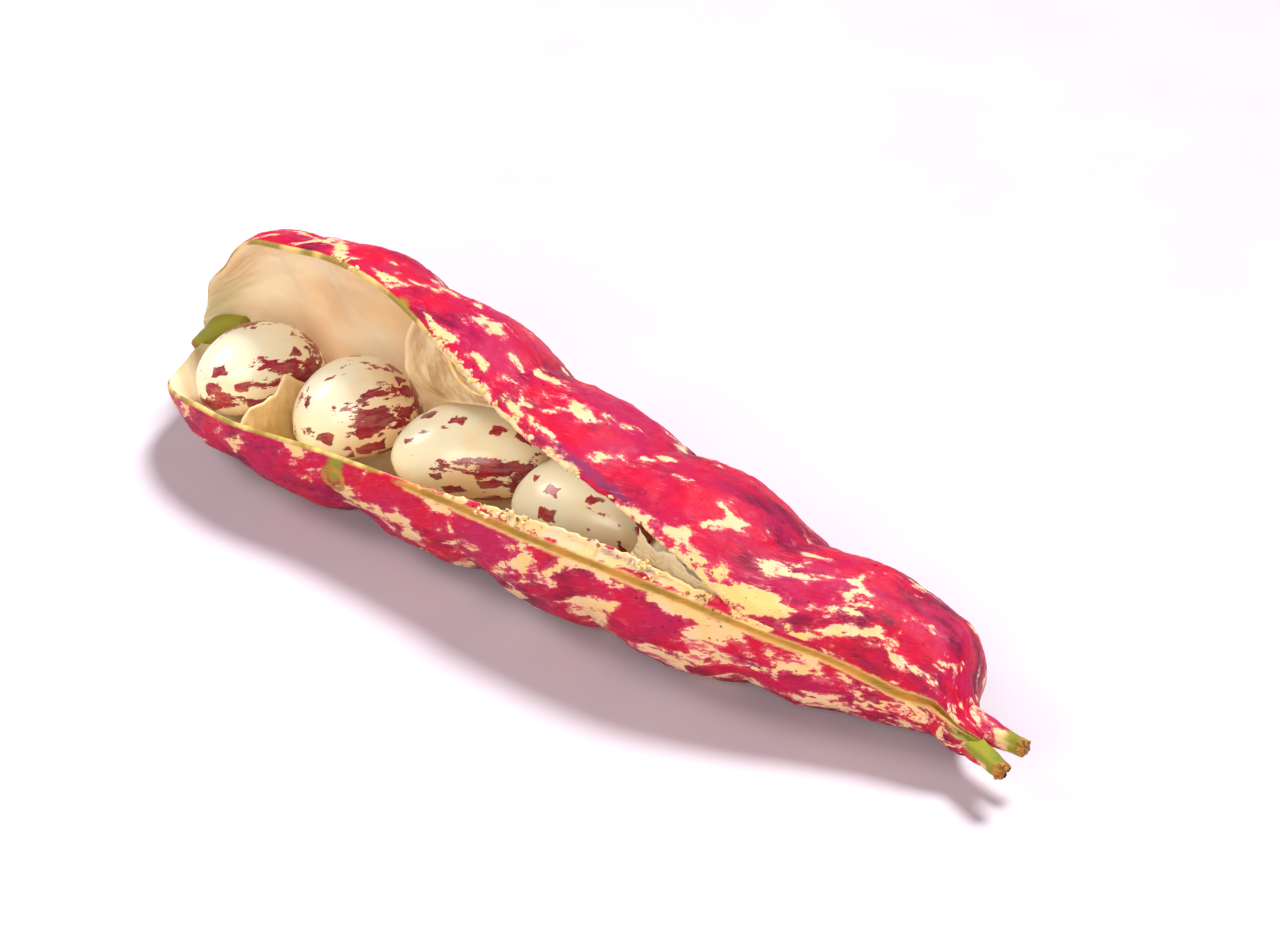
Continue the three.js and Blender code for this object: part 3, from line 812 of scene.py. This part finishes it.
def bean_material(name):
    """Seed coat: glossy ivory with warm clouds, which gather on the patched side as painted shade, small
    angular crimson dabs, jagged maroon patches that crowd together on that side, and a rust ring round the
    scar."""
    colours = bpy.context.scene.pod_settings
    material, tree, shader = new_material(
        name, Subsurface_Weight=0.16, Subsurface_Radius=(1.0, 0.7, 0.4), Subsurface_Scale=0.0012,
        Roughness=0.28, Coat_Weight=0.28, Coat_Roughness=0.1)
    place = stored_vector(tree, "coat")
    side = stored(tree, "patch")
    # Painted shade: the warm tone is pushed towards the patched side of each bean, on top of its random
    # clouds.
    warm = plus(tree, noise(tree, place, 1.3, 3.0), times(tree, side, 0.2))
    coat = blend(tree, between(tree, warm, 0.4, 0.7), colours.ivory, colours.ivory_warm)
    blots = use_group(tree, patches_group(), Vector=stretched(tree, place, (0.42, 1.2, 1.2)), Scale=2.3,
                      Bias=sums(tree, "MULTIPLY_ADD", side, 0.055, 0.003), Softness=0.01)
    marks = sums(tree, "MAXIMUM", bean_dabs(tree, place, side), blots.outputs["Patches"])
    deep = between(tree, noise(tree, place, 3.0, 4.0, 0.6), 0.35, 0.65)
    mark = blend(tree, deep, colours.bean_red, colours.bean_maroon)
    faint = between(tree, noise(tree, stretched(tree, place, (0.5, 2, 2)), 8.0, 4.0, 0.7), 0.3, 0.62)
    coat = blend(tree, times(tree, marks, sums(tree, "MULTIPLY_ADD", faint, 0.15, 0.85)), coat, mark)
    ring = stored(tree, "scar")
    coat = blend(tree, between(tree, ring, 0.15, 0.7), coat, colours.rust)
    coat = blend(tree, between(tree, ring, 0.8, 0.95), coat, colours.ivory_warm)
    feed(tree, shader.inputs["Base Color"], coat)
    add_bump(tree, shader, noise(tree, place, 4.5, 3.0, 0.5), 0.12, 0.0002)
    return material


def membrane_material(name):
    """Dry inner skin: translucent beige with pale fibres and a few dark flecks."""
    settings = bpy.context.scene.pod_settings
    material, tree, shader = new_material(
        name, Subsurface_Weight=0.5, Subsurface_Radius=(1.0, 0.7, 0.4), Subsurface_Scale=0.001,
        Roughness=0.36)
    uv = node(tree, "ShaderNodeUVMap", uv_map="sheet").outputs[0]
    cloud = between(tree, noise(tree, stretched(tree, uv, (2.2, 0.7, 1)), 2.0, 5.0, 0.6), 0.36, 0.66)
    colour = blend(tree, cloud, settings.membrane, settings.membrane_pale)
    colour = blend(tree, stored(tree, "hem"), colour, settings.membrane_pale)
    flecks = between(tree, noise(tree, uv, 9.0, 2.0), 0.74, 0.78)
    colour = blend(tree, times(tree, flecks, 0.6), colour, settings.bark)
    feed(tree, shader.inputs["Base Color"], colour)
    add_bump(tree, shader, noise(tree, stretched(tree, uv, (1, 3, 1)), 3.0, 5.0, 0.6), 0.35, 0.0004)
    return material


def floor_material():
    """Plain pale table top."""
    material, tree, shader = new_material("floor_white", Roughness=0.75, Specular_IOR_Level=0.15)
    place = node(tree, "ShaderNodeTexCoord").outputs["Object"]
    tint = between(tree, noise(tree, place, 30.0, 3.0), 0.3, 0.7)
    feed(tree, shader.inputs["Base Color"], blend(tree, tint, *FLOOR_TINTS))
    return material


def finish_piece(piece, material):
    """Dresses a piece and makes it ride on the one body."""
    piece.data.materials.append(material)
    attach(piece, "root")
    return piece


# Pieces

def spot(along, turn, place, length, bearing, width):
    """1 at a place along the pod and a bearing from the front seam, fading round it."""
    return bell(along, place, length) * bell(turn, bearing, width)


def cream_places(along, turn, angle, from_upper_lip, torn):
    """How much the pale patches gain: most on the lower valve past its middle, along the torn edges and
    on the yellow patch at the end of the split, and least at the back."""
    on_lower = 0.05 * bell(along, 40, 6) + 0.045 * ease((along - 50) / 12) - 0.05 * bell(along, 22, 12)
    cream = np.where(turn > 0, on_lower * bell(turn, 30, 45), 0.004 - 0.01 * bell(along, 103, 6))
    cream = cream + 0.085 * spot(along, turn, 91, 8, -20, 18)
    cream = cream - 0.03 * bell(turn, -110, 50) + 0.03 * bell(along, 6, 8)
    cream = cream + 0.15 * torn * bell(from_upper_lip, 0, 2.5) * (0.2 + 0.8 * bell(along, 50, 10))
    return cream + 0.12 * torn * bell(turn, -8, 4) * (angle < math.pi)


def seam_places(along, turn):
    """Where the pale band beside the seams is, and where their olive line and the ring of the knot are.
    Both widen towards the beak."""
    back = np.abs(turn)
    opened = ease((along - 40) / 8)
    widening = ease((along - 98) / 12)
    band = bell(turn, 1, 5 + 6 * widening) * opened + 0.3 * bell(back, 180, 4)
    line = bell(turn, 0.5, 2.8 + 3.5 * widening) * opened * (1 - 0.6 * ease((along - 109) / 5))
    line = line + 0.8 * bell(back, 180, 2 + 4 * widening)
    knot = np.hypot(along - KNOT[0], (turn - KNOT[1]) * 0.17)
    return band, line + 1.2 * bell(knot, 1.4, 0.45) + 0.9 * bell(knot, 0, 0.5)


def green_places(along, turn):
    """Where the wall is green: the stem end, the root of the lower beak stub and the knot."""
    widening = ease((along - 98) / 12)
    green = ease((7 - along) / 7) + 0.7 * ease((along - 108) / 6) * bell(turn, 16, 20 + 8 * widening)
    green = green + 0.9 * bell(along + turn / 30, KNOT[0] + KNOT[1] / 30, 1.5) * bell(turn, 8, 16)
    return np.clip(green, 0, 1)


def colour_places(piece, x, angle, depth):
    """Keeps where each colour goes on the wall: x (N), angle and depth through the wall (N, M)."""
    turn = from_seam(x, angle)
    along = x[:, None] + 0 * angle
    outside = 1 - depth
    low, high = (np.degrees(lip)[:, None] for lip in lip_angles(x))
    from_upper_lip = high - np.degrees(angle)
    from_lower_lip = np.degrees(angle) - low
    torn = ease((along - 40) / 5) * ease((SPLIT_END - along) / 3)
    waist = sum(bell(x, place, 2.5) for place in WAISTS)[:, None]
    band, line = seam_places(along, turn)
    # Painted shade: where the skin turns maroon, on the underside of the lower valve, on the back of the
    # upper valve, on the beak lobe and in the waists.
    shade = 1.4 * bell(turn, 95, 50) + 0.9 * bell(turn, -150, 45) + 0.5 * bell(along, 104, 6) + 0.6 * waist
    bruise = bell(from_upper_lip, 5, 5) * bell(along, 68, 9) + 0.8 * torn * spot(along, turn, 76, 7, -8, 3)
    at_rim = np.maximum(bell(from_upper_lip, 0, 1.8), 0.85 * bell(from_lower_lip, 0, 1.4)) * (1 - torn)
    store(piece, cream=cream_places(along, turn, angle, from_upper_lip, torn),
          fleck=np.where(turn > 0, 0.005, -0.05) - 0.1 * bell(turn, 0, 9),
          yellow=0.3 * bell(turn, 20, 30) + 0.8 * spot(along, turn, 90, 8, -16, 16),
          shade=shade, veil=0.22 + 0.5 * waist + 0.2 * bell(turn, -150, 30), seam=band * outside,
          line=line * outside, bruise=bruise * outside, green=green_places(along, turn), inside=depth,
          lip=at_rim * bell(depth, 0.3, 0.5) * (along < SPLIT_END - 3), cut=0 * along)


def make_pod_shell():
    """The wall of the pod, both skins and its rims, as one closed sheet."""
    settings = bpy.context.scene.pod_settings
    rows, columns = settings.rows, settings.columns
    t = np.linspace(0, 1, rows)
    x = STEM_END + (BEAK_END - STEM_END) * (t - 0.13 * np.sin(2 * math.pi * t))
    points, angle, depth = ring_of(x, columns)
    piece = make_mesh("pod_wall", place_in_frame(points), ring_faces(rows, columns))
    colour_places(piece, x, angle, depth)
    store_map(piece, "fibres", fibre_map(x, angle))
    return piece


def tube(line, sides, steps):
    """A round profile carried along a smooth line of (x, y, z, radius), as rings of points. The frame
    of each ring comes from the line's direction and the vertical."""
    knots = np.array(line, float)
    place = np.concatenate(((0,), np.cumsum(np.linalg.norm(np.diff(knots[:, :3], axis=0), axis=1))))
    s = np.linspace(0, place[-1], steps)
    x, y, z, radius = (follow(tuple(zip(place, column)), s) for column in knots.T)
    centre = np.stack((x, y, z), -1)
    ahead = np.gradient(centre, axis=0)
    ahead /= np.linalg.norm(ahead, axis=1, keepdims=True)
    side = np.cross((0, 0, 1), ahead)
    side /= np.linalg.norm(side, axis=1, keepdims=True)
    up = np.cross(ahead, side)
    turn = np.linspace(0, 2 * math.pi, sides, endpoint=False)
    round_it = side[:, None] * np.cos(turn)[None, :, None] + up[:, None] * np.sin(turn)[None, :, None]
    return centre[:, None] + radius[:, None, None] * round_it, s, turn


def tube_faces(steps, sides):
    """Quads along a tube and one flat face on each end."""
    faces = grid_quads(steps, sides).tolist()
    faces.append(list(range(sides))[::-1])
    faces.append(list(range((steps - 1) * sides, steps * sides)))
    return faces


def make_stub(name, seed, reach, line):
    """A stub with a ragged, browned cut end, green over its last reach millimetres."""
    sides, steps = 40, 60
    rings, s, turn = tube(line, sides, steps)
    left = s[-1] - s
    centre = rings.mean(1, keepdims=True)
    swell = 1 + 0.1 * ripple(seed, s[:, None] / 5, np.cos(turn)[None, :], np.sin(turn)[None, :], octaves=2)
    swell = swell * (1 - 0.12 * np.cos(3 * turn + seed)[None, :] * ease(1 - left / 5)[:, None])
    rings = centre + (rings - centre) * swell[..., None]
    ahead = rings[-1].mean(0) - rings[-4].mean(0)
    ahead /= np.linalg.norm(ahead)
    torn = 0.5 * ripple(seed + 1, np.cos(turn) * 1.5, np.sin(turn) * 1.5, octaves=3)[None, :]
    torn = torn * ease(1 - left / 1.4)[:, None]
    rings = rings - ahead * np.abs(torn)[..., None]
    piece = make_mesh(name, place_in_frame(rings), tube_faces(steps, sides))
    left = left[:, None] + 0 * turn[None, :]
    facing = np.maximum(0.5 + 0.5 * np.cos(turn - 1.2)[None, :], ease(1.6 - left / 1.5))
    none = np.zeros_like(left)
    store(piece, green=1.1 * facing ** 0.6 * ease((reach - left) / 4 + 0.3),
          cut=0.9 * ease(1.2 - left / 0.8), cream=none + 0.05, veil=none + 0.8)
    for label in ("fleck", "yellow", "shade", "seam", "line", "bruise", "inside", "lip"):
        store(piece, **{label: none})
    store_map(piece, "fibres", np.stack((s[:, None] / 10 + none, (turn - math.pi) * 0.12 + none), -1))
    return piece


def make_bean_piece(index, bean):
    """A kidney bean: rings from end to end whose middle line bends towards the seam, a little
    flattened on its sides, with a dent at the scar."""
    long, wide, thick = bean["half"]
    rings, sides = 110, 120
    u = np.linspace(0, math.pi, rings)[:, None]
    v = np.linspace(0, 2 * math.pi, sides, endpoint=False)[None, :]
    girth = np.sin(u) ** 0.9
    x = long * np.cos(u) + 0 * v
    z = thick * girth * np.sin(v)
    scar_at = bean["scar"] * long
    near = ((x - scar_at) / 1.7) ** 2 + (z / 0.95) ** 2
    front = np.cos(v) < 0
    y = wide * girth * np.cos(v) + BEAN_BEND * (1 / 3 - np.cos(u) ** 2)
    y = y + np.where(front, SCAR_DENT * np.exp(-((x / 2.4) ** 2) - (z / 2) ** 2), 0)
    points = np.stack((x, y, z), -1)
    lumps = 0.1 * ripple(60 + index, u * 0.5, np.cos(v) * 0.4, np.sin(v) * 0.4, octaves=2)
    points = points * (1 + lumps[..., None] * 0.12)
    spin = Euler(np.radians(bean["turn"])[::-1], "XYZ").to_matrix()
    turned = points @ np.array(spin).T
    facing = turned / np.linalg.norm(turned, axis=-1, keepdims=True)
    piece = make_mesh(f"bean_{index + 1}_coat", place_in_frame(ball_points(turned + np.array(bean["at"]))),
                      ball_faces(rings, sides))
    # patch: how far each point faces the patched side, where the marks crowd and where the warm tone is laid
    # as painted shade.
    store(piece, patch=ball_points(np.clip(facing @ PATCH_AND_SHADE_FACING, -1, 1)),
          scar=ball_points(np.where(front, np.exp(-near), 0)))
    store_vector(piece, "coat", ball_points(points) / 10 + np.array(bean["marks"]))
    return piece


def ball_points(grid):
    """The rings between the two ends, and then one point for each end."""
    inner = grid[1:-1].reshape(-1, *grid.shape[2:])
    return np.concatenate((inner, grid[(0, -1), 0]))


def ball_faces(rings, sides):
    """Quads between the rings of ball_points and triangles round both ends."""
    quads = grid_quads(rings - 2, sides)
    ring = np.arange(sides)
    after = (ring + 1) % sides
    last = (rings - 3) * sides
    pole = (rings - 2) * sides
    start = np.stack((np.full(sides, pole), after, ring), -1)
    end = np.stack((np.full(sides, pole + 1), last + ring, last + after), -1)
    return quads.tolist() + start.tolist() + end.tolist()


def flap_point(s, t):
    """A point of the flap at s along the lip and t down from it, both arrays: the top edge is the
    middle of the upper lip, and the drop changes evenly along it, with a bow near the free edge."""
    x = FLAP_START + (FLAP_END - FLAP_START) * s
    root = np.radians(follow(UPPER_LIP, x) - FLAP_ROOT_TURN)[:, None]
    top = pod_surface(x, root, np.full((len(x), 1), wall() / 2))[:, 0]
    s, t = s[:, None], t[:, None]
    drop = np.array(FLAP_DROP_START) * (1 - s) + np.array(FLAP_DROP_END) * s
    bow = np.array(FLAP_BOW) * np.sin(math.pi * t) * (1 - s) ** 2
    return top + drop * t + bow


def sheet_piece(name, middle, facing, half, hem):
    """A thin closed sheet: middle (N, M, 3) is its middle surface, facing the direction across it, half
    (N, M) its half thickness and hem (N, M) how far each point belongs to its pale rim."""
    columns, rows = half.shape
    across = np.array(facing) * half[..., None]
    points = np.concatenate((middle - across, middle + across))
    back = columns * rows
    quads = grid_quads(columns, rows, closed=False)
    loop = np.concatenate((np.arange(rows), np.arange(1, columns) * rows + rows - 1,
                           (columns - 1) * rows + np.arange(rows - 2, -1, -1),
                           np.arange(columns - 2, 0, -1) * rows))
    after = np.roll(loop, -1)
    edge = np.stack((after, loop, loop + back, after + back), -1)
    faces = np.concatenate((quads, quads[:, ::-1] + back, edge))
    normal = np.cross(middle[1, 0] - middle[0, 0], middle[0, 1] - middle[0, 0])
    if np.dot(normal, facing) > 0:
        faces = faces[:, ::-1]
    piece = make_mesh(name, place_in_frame(points), faces.tolist())
    store(piece, hem=np.concatenate((hem, hem)))
    chart = np.stack(np.meshgrid(np.linspace(0, 1.5, columns), np.linspace(0, 1, rows), indexing="ij"), -1)
    store_map(piece, "sheet", np.concatenate((chart, chart)))
    return piece


def make_flap():
    """The loose inner skin under the upper lip, with shallow folds and a thicker rolled rim."""
    columns, rows = 70, 46
    s, t = np.meshgrid(np.linspace(0, 1, columns), np.linspace(0, 1, rows), indexing="ij")
    middle = flap_point(s.ravel(), t.ravel()).reshape(columns, rows, 3)
    folds = 0.4 * ripple(71, s * 2.6, t * 1.1, octaves=3) + 0.12 * ripple(72, s * 8, t * 3)
    middle = middle + np.array(FLAP_FACING) * (folds * np.sin(math.pi * t))[..., None]
    hem = np.maximum(bell(s, 0, 0.03), bell(t, 1, 0.05))
    return sheet_piece("membrane_flap", middle, FLAP_FACING, 0.06 + 0.16 * hem, hem)


def make_partition():
    """The thin web between the first two beans: it rises from the lining and narrows a little towards
    its ragged free edge."""
    columns, rows = 60, 24
    turn = np.radians(np.linspace(4, 165, columns))
    base = pod_surface(np.array((WEB_PLACE,)), turn[None, :], np.full((1, columns), wall() * 0.7))[0]
    centre = base * np.array((0, 0.65, 0)) + np.array((WEB_PLACE, base[:, 1].mean() * 0.35 - 0.6, 14.5))
    s = np.linspace(0, 1, columns)
    reach = (0.8 + 0.09 * ripple(91, s * 2, octaves=3, roughness=0.4)) * np.sin(math.pi * s) ** 0.35
    t = np.linspace(0, 1, rows)
    middle = base[:, None] + (centre - base)[:, None] * (reach[:, None] * t)[..., None]
    middle[..., 0] += 0.35 * ripple(92, s[:, None] * 1.6, t[None, :] * 0.8, octaves=2) * t
    hem = np.broadcast_to(np.maximum(bell(t, 1, 0.12), 0.6 * t), (columns, rows))
    return sheet_piece("partition", middle, (1, 0, 0), 0.05 + 0.08 * hem, hem)


def make_torn_web():
    """The shrivelled skin in the end of the split: it rises from the lower lip towards the upper one,
    sags inwards, and its free edge is ragged."""
    columns, rows = 70, 20
    x = np.linspace(*TORN_WEB, columns)
    low, high = lip_angles(x)
    bottom = pod_surface(x, low[:, None], np.full((columns, 1), 0.6))[:, 0]
    top = pod_surface(x, high[:, None], np.full((columns, 1), 0.6))[:, 0]
    s = np.linspace(0, 1, columns)
    t = np.linspace(0, 1, rows)
    reach = 0.72 + 0.22 * ripple(83, s * 2.5, octaves=4) + 0.4 * ease((s - 0.5) / 0.5)
    reach = np.clip(reach, 0.2, 1.0)
    rise = (reach[:, None] * t)[..., None]
    middle = bottom[:, None] * (1 - rise) + top[:, None] * rise
    sag = 0.6 * np.sin(math.pi * t) + 0.35 * ripple(84, s[:, None] * 5, t[None, :] * 2, octaves=3)
    middle = middle + np.array((0.05, 0.35, -0.95)) * (sag * (1 - 0.7 * s[:, None]))[..., None]
    hem = np.broadcast_to(np.maximum(bell(t, 1, 0.2), 0.6), (columns, rows))
    return sheet_piece("torn_web", middle, (-0.2, -0.5, 0.84), 0.05 + 0.08 * hem, hem)


def make_crumbs(name, seed, places, size):
    """Torn crumbs: bent ellipsoids of seven rings and nine sides, turned and stretched at random, one
    at each of the places (N, 3), in outline millimetres."""
    draw = np.random.default_rng(seed)
    count, rings, sides = len(places), 7, 9
    u = np.linspace(0, math.pi, rings)[:, None]
    v = np.linspace(0, 2 * math.pi, sides, endpoint=False)[None, :]
    ball = ball_points(np.stack((np.cos(u) + 0 * v, np.sin(u) * np.cos(v), np.sin(u) * np.sin(v)), -1))
    radii = size * draw.uniform(0.25, 1.1, (count, 1, 3)) * draw.uniform(0.5, 1.1, (count, 1, 1))
    lumps = 1 + draw.normal(0, 0.2, (count, len(ball), 1))
    turns = np.linalg.qr(draw.normal(size=(count, 3, 3)))[0]
    turns *= np.linalg.det(turns)[:, None, None]
    points = np.einsum("nvi,nij->nvj", ball[None] * radii * lumps, turns) + places[:, None]
    one = ball_faces(rings, sides)
    starts = range(0, count * len(ball), len(ball))
    faces = [[corner + start for corner in face] for start in starts for face in one]
    piece = make_mesh(name, place_in_frame(points), faces)
    tone = draw.uniform(0, 1, (count, 1)) + np.zeros((1, len(ball)))
    store(piece, tone=tone)
    return piece


def along_lip(seed, start, end, count, upper, spread):
    """Random places on a lip: x between start and end, spread degrees either way, just proud."""
    draw = np.random.default_rng(seed)
    x = draw.uniform(start, end, count)
    lip = lip_angles(x)[1 if upper else 0]
    away = np.radians(draw.uniform(-1, 0.3, count) * spread)
    angle = lip + (away if upper else -away)
    depth = draw.uniform(-0.4, 0.25, count)
    return pod_surface(x, angle[:, None], 0 * x[:, None], -depth[:, None])[:, 0]


def stub_tip(line, seed):
    """Random places over the cut end of a stub."""
    draw = np.random.default_rng(seed)
    end, before = np.array(line[-1]), np.array(line[-2])
    ahead = (end - before)[:3]
    return end[:3] + draw.normal(0, 0.42, (18, 3)) * end[3] - 0.35 * ahead / np.linalg.norm(ahead)


def crumb_material(name, low, high):
    """Torn pith in two tones, with fine mottling."""
    material, tree, shader = new_material(
        name, Subsurface_Weight=0.3, Subsurface_Radius=(1.0, 0.7, 0.3), Subsurface_Scale=0.0008,
        Roughness=0.5)
    place = node(tree, "ShaderNodeTexCoord").outputs["Object"]
    mottle = noise(tree, place, 1600.0, 3.0, 0.6)
    tone = plus(tree, times(tree, stored(tree, "tone"), 0.7), times(tree, mottle, 0.4))
    feed(tree, shader.inputs["Base Color"], blend(tree, between(tree, tone, 0.25, 0.85), low, high))
    add_bump(tree, shader, mottle, 0.3, 0.0001)
    return material


def make_thread():
    """A pale torn fibre that curls off the upper lip in front of the loose skin."""
    s, t, radius = np.array(THREAD).T
    front = flap_point(s, t) - np.array(FLAP_FACING) * np.linspace(0.2, 0.8, len(s))[:, None]
    sides, steps = 12, 80
    rings, along, turn = tube(np.concatenate((front, radius[:, None]), 1), sides, steps)
    piece = make_mesh("lip_thread", place_in_frame(rings), tube_faces(steps, sides))
    store(piece, tone=0.5 + 0.5 * np.sin(along * 3)[:, None] + 0 * turn[None, :])
    return piece


# Add-on classes

class PodSettings(bpy.types.PropertyGroup):
    wall_thickness: bpy.props.FloatProperty(
        name="Wall thickness", description="Thickness of the pod's wall at its lips", default=0.0013,
        min=0.0005, max=0.003, unit="LENGTH", precision=4)
    waist_depth: bpy.props.FloatProperty(
        name="Waist depth", description="How far the wall draws in between two beans", default=0.0011,
        min=0, max=0.003, unit="LENGTH", precision=4)
    rows: bpy.props.IntProperty(
        name="Rows", description="Sections along the pod", default=340, min=60, max=400)
    columns: bpy.props.IntProperty(
        name="Columns", description="Faces round the wall", default=132, min=24, max=140)


for key, use, value in COLOURS:
    PodSettings.__annotations__[key] = bpy.props.FloatVectorProperty(
        name=key.replace("_", " ").capitalize(), description=use, default=value, size=3, subtype="COLOR",
        min=0, max=1)


class StageSettings(bpy.types.PropertyGroup):
    key_strength: bpy.props.FloatProperty(
        name="Key strength", description="Even light from behind and above", default=4.2, min=0)
    left_power: bpy.props.FloatProperty(
        name="Left power", description="Light from the stem end, high up", default=1.2, min=0, unit="POWER")
    fill_power: bpy.props.FloatProperty(
        name="Fill power", description="Soft light from the viewer's side", default=1.75, min=0, unit="POWER")
    sky: bpy.props.FloatProperty(
        name="Sky", description="Brightness of the surroundings", default=0.1, min=0, max=2)


class POD_OT_stage(bpy.types.Operator):
    """Make the camera, the lights and the floor"""
    bl_idname = "pod.stage"
    bl_label = "Stage"

    def execute(self, context):
        settings = context.scene.stage_settings
        make_camera()
        make_light("key_light", "SUN", settings.key_strength, *KEY_LIGHT)
        make_light("left_light", "AREA", settings.left_power, *LEFT_LIGHT)
        make_light("fill_light", "AREA", settings.fill_power, *FILL_LIGHT)
        make_floor()
        make_sky(settings.sky)
        return {"FINISHED"}


def make_camera():
    """The photograph's view: a long lens, looking down on the pod from its open side."""
    data = bpy.data.cameras.new("camera")
    data.lens = CAMERA_LENS
    data.sensor_width = 36
    data.clip_start = 0.01
    data.clip_end = 10
    camera = bpy.data.objects.new("camera", data)
    azimuth, elevation = math.radians(CAMERA_AZIMUTH), math.radians(CAMERA_ELEVATION)
    back = Vector((math.sin(azimuth) * math.cos(elevation), -math.cos(azimuth) * math.cos(elevation),
                   math.sin(elevation)))
    camera.location = Vector(CAMERA_AIM) + back * CAMERA_DISTANCE
    camera.rotation_mode = "QUATERNION"
    camera.rotation_quaternion = (-back).to_track_quat("-Z", "Y")
    bpy.context.collection.objects.link(camera)
    bpy.context.scene.camera = camera


def make_light(name, kind, strength, place, size, tint):
    """A soft light turned to the pod: a square AREA, or a SUN that lights the whole floor alike."""
    data = bpy.data.lights.new(name, kind)
    if kind == "SUN":
        data.angle = math.radians(size)
    else:
        data.size = size
    data.energy = strength
    data.color = tint
    light = bpy.data.objects.new(name, data)
    light.location = place
    light.rotation_mode = "QUATERNION"
    light.rotation_quaternion = (Vector(LIGHT_AIM) - Vector(place)).to_track_quat("-Z", "Y")
    bpy.context.collection.objects.link(light)


def make_floor():
    """A wide flat sheet under the pod."""
    lines = np.linspace(-FLOOR_REACH, FLOOR_REACH, 13)
    x, y = np.meshgrid(lines, lines, indexing="ij")
    points = np.stack((x, y, 0 * x - 0.00002), -1)
    quads = grid_quads(len(lines), len(lines), closed=False)[:, ::-1]
    floor = make_mesh("floor", points, quads.tolist(), smooth=False)
    floor.data.materials.append(floor_material())


def make_sky(strength):
    """Even pale light from all round."""
    world = bpy.data.worlds.new("sky")
    world.use_nodes = True
    background = world.node_tree.nodes["Background"]
    background.inputs["Color"].default_value = (*SKY_TINT, 1)
    background.inputs["Strength"].default_value = strength
    bpy.context.scene.world = world
    bpy.context.scene.view_settings.view_transform = "Standard"


class POD_OT_wall(bpy.types.Operator):
    """Make the pod's wall with its skin, lining and torn lips"""
    bl_idname = "pod.wall"
    bl_label = "Pod wall"

    def execute(self, context):
        piece = finish_piece(make_pod_shell(), shared("mottled_skin", skin_material))
        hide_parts("pod")
        return {"FINISHED"}


class POD_OT_stubs(bpy.types.Operator):
    """Make the two beak stubs and the stem stub"""
    bl_idname = "pod.stubs"
    bl_label = "Stubs"

    def execute(self, context):
        skin = shared("mottled_skin", skin_material)
        for stub in STUBS:
            piece = finish_piece(make_stub(*stub), skin)
            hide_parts("pod")
        return {"FINISHED"}


class POD_OT_membranes(bpy.types.Operator):
    """Make the loose inner skins: the flap, the web between two beans and the torn web"""
    bl_idname = "pod.membranes"
    bl_label = "Membranes"

    def execute(self, context):
        membrane = shared("membrane", membrane_material)
        for sheet in (make_flap(), make_partition(), make_torn_web()):
            piece = finish_piece(sheet, membrane)
            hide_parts("pod")
        return {"FINISHED"}


class POD_OT_crumbs(bpy.types.Operator):
    """Make the torn crumbs on the lips and the curled thread"""
    bl_idname = "pod.crumbs"
    bl_label = "Crumbs and thread"

    def execute(self, context):
        settings = context.scene.pod_settings
        pith = crumb_material("torn_pith", settings.butter, settings.membrane_pale)
        dry = crumb_material("dry_bits", settings.bark, settings.rust)
        pale = np.concatenate([along_lip(*patch) for patch in PALE_CRUMBS])
        tips = [stub_tip(stub[-1], seed) for stub, seed in zip(STUBS, TIP_SEEDS)]
        dark = np.concatenate([along_lip(*patch) for patch in DARK_CRUMBS] + tips)
        pieces = ((make_crumbs("pale_crumbs", 41, pale, PALE_CRUMB_SIZE), pith),
                  (make_crumbs("dark_crumbs", 42, dark, DARK_CRUMB_SIZE), dry), (make_thread(), pith))
        for piece, material in pieces:
            finish_piece(piece, material)
            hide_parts("pod")
        return {"FINISHED"}


class POD_OT_beans(bpy.types.Operator):
    """Make the six speckled beans"""
    bl_idname = "pod.beans"
    bl_label = "Beans"

    def execute(self, context):
        coat = shared("speckled_coat", bean_material)
        for index, bean in enumerate(BEANS):
            piece = finish_piece(make_bean_piece(index, bean), coat)
            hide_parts(f"bean_{index + 1}")
        return {"FINISHED"}


class POD_PT_panel(bpy.types.Panel):
    """Lists the pieces"""
    bl_label = "Bean pod"
    bl_idname = "POD_PT_panel"
    bl_space_type = "VIEW_3D"
    bl_region_type = "UI"
    bl_category = "Bean pod"

    def draw(self, context):
        for operator in OPERATORS:
            self.layout.operator(operator.bl_idname)
        for name in PodSettings.__annotations__:
            self.layout.prop(context.scene.pod_settings, name)
        for name in StageSettings.__annotations__:
            self.layout.prop(context.scene.stage_settings, name)


OPERATORS = (POD_OT_stage, POD_OT_wall, POD_OT_stubs, POD_OT_membranes, POD_OT_crumbs, POD_OT_beans)
CLASSES = (PodSettings, StageSettings, *OPERATORS, POD_PT_panel)


def register():
    """Registers the classes and the two groups of settings."""
    for item in CLASSES:
        bpy.utils.register_class(item)
    bpy.types.Scene.pod_settings = bpy.props.PointerProperty(type=PodSettings)
    bpy.types.Scene.stage_settings = bpy.props.PointerProperty(type=StageSettings)


def unregister():
    """Takes the settings and the classes away again."""
    del bpy.types.Scene.stage_settings
    del bpy.types.Scene.pod_settings
    for item in reversed(CLASSES):
        bpy.utils.unregister_class(item)


def main():
    """Makes every piece in order."""
    register()
    bpy.ops.pod.stage()
    bpy.ops.pod.wall()
    bpy.ops.pod.stubs()
    bpy.ops.pod.membranes()
    bpy.ops.pod.crumbs()
    bpy.ops.pod.beans()


if __name__ == "__main__":
    main()
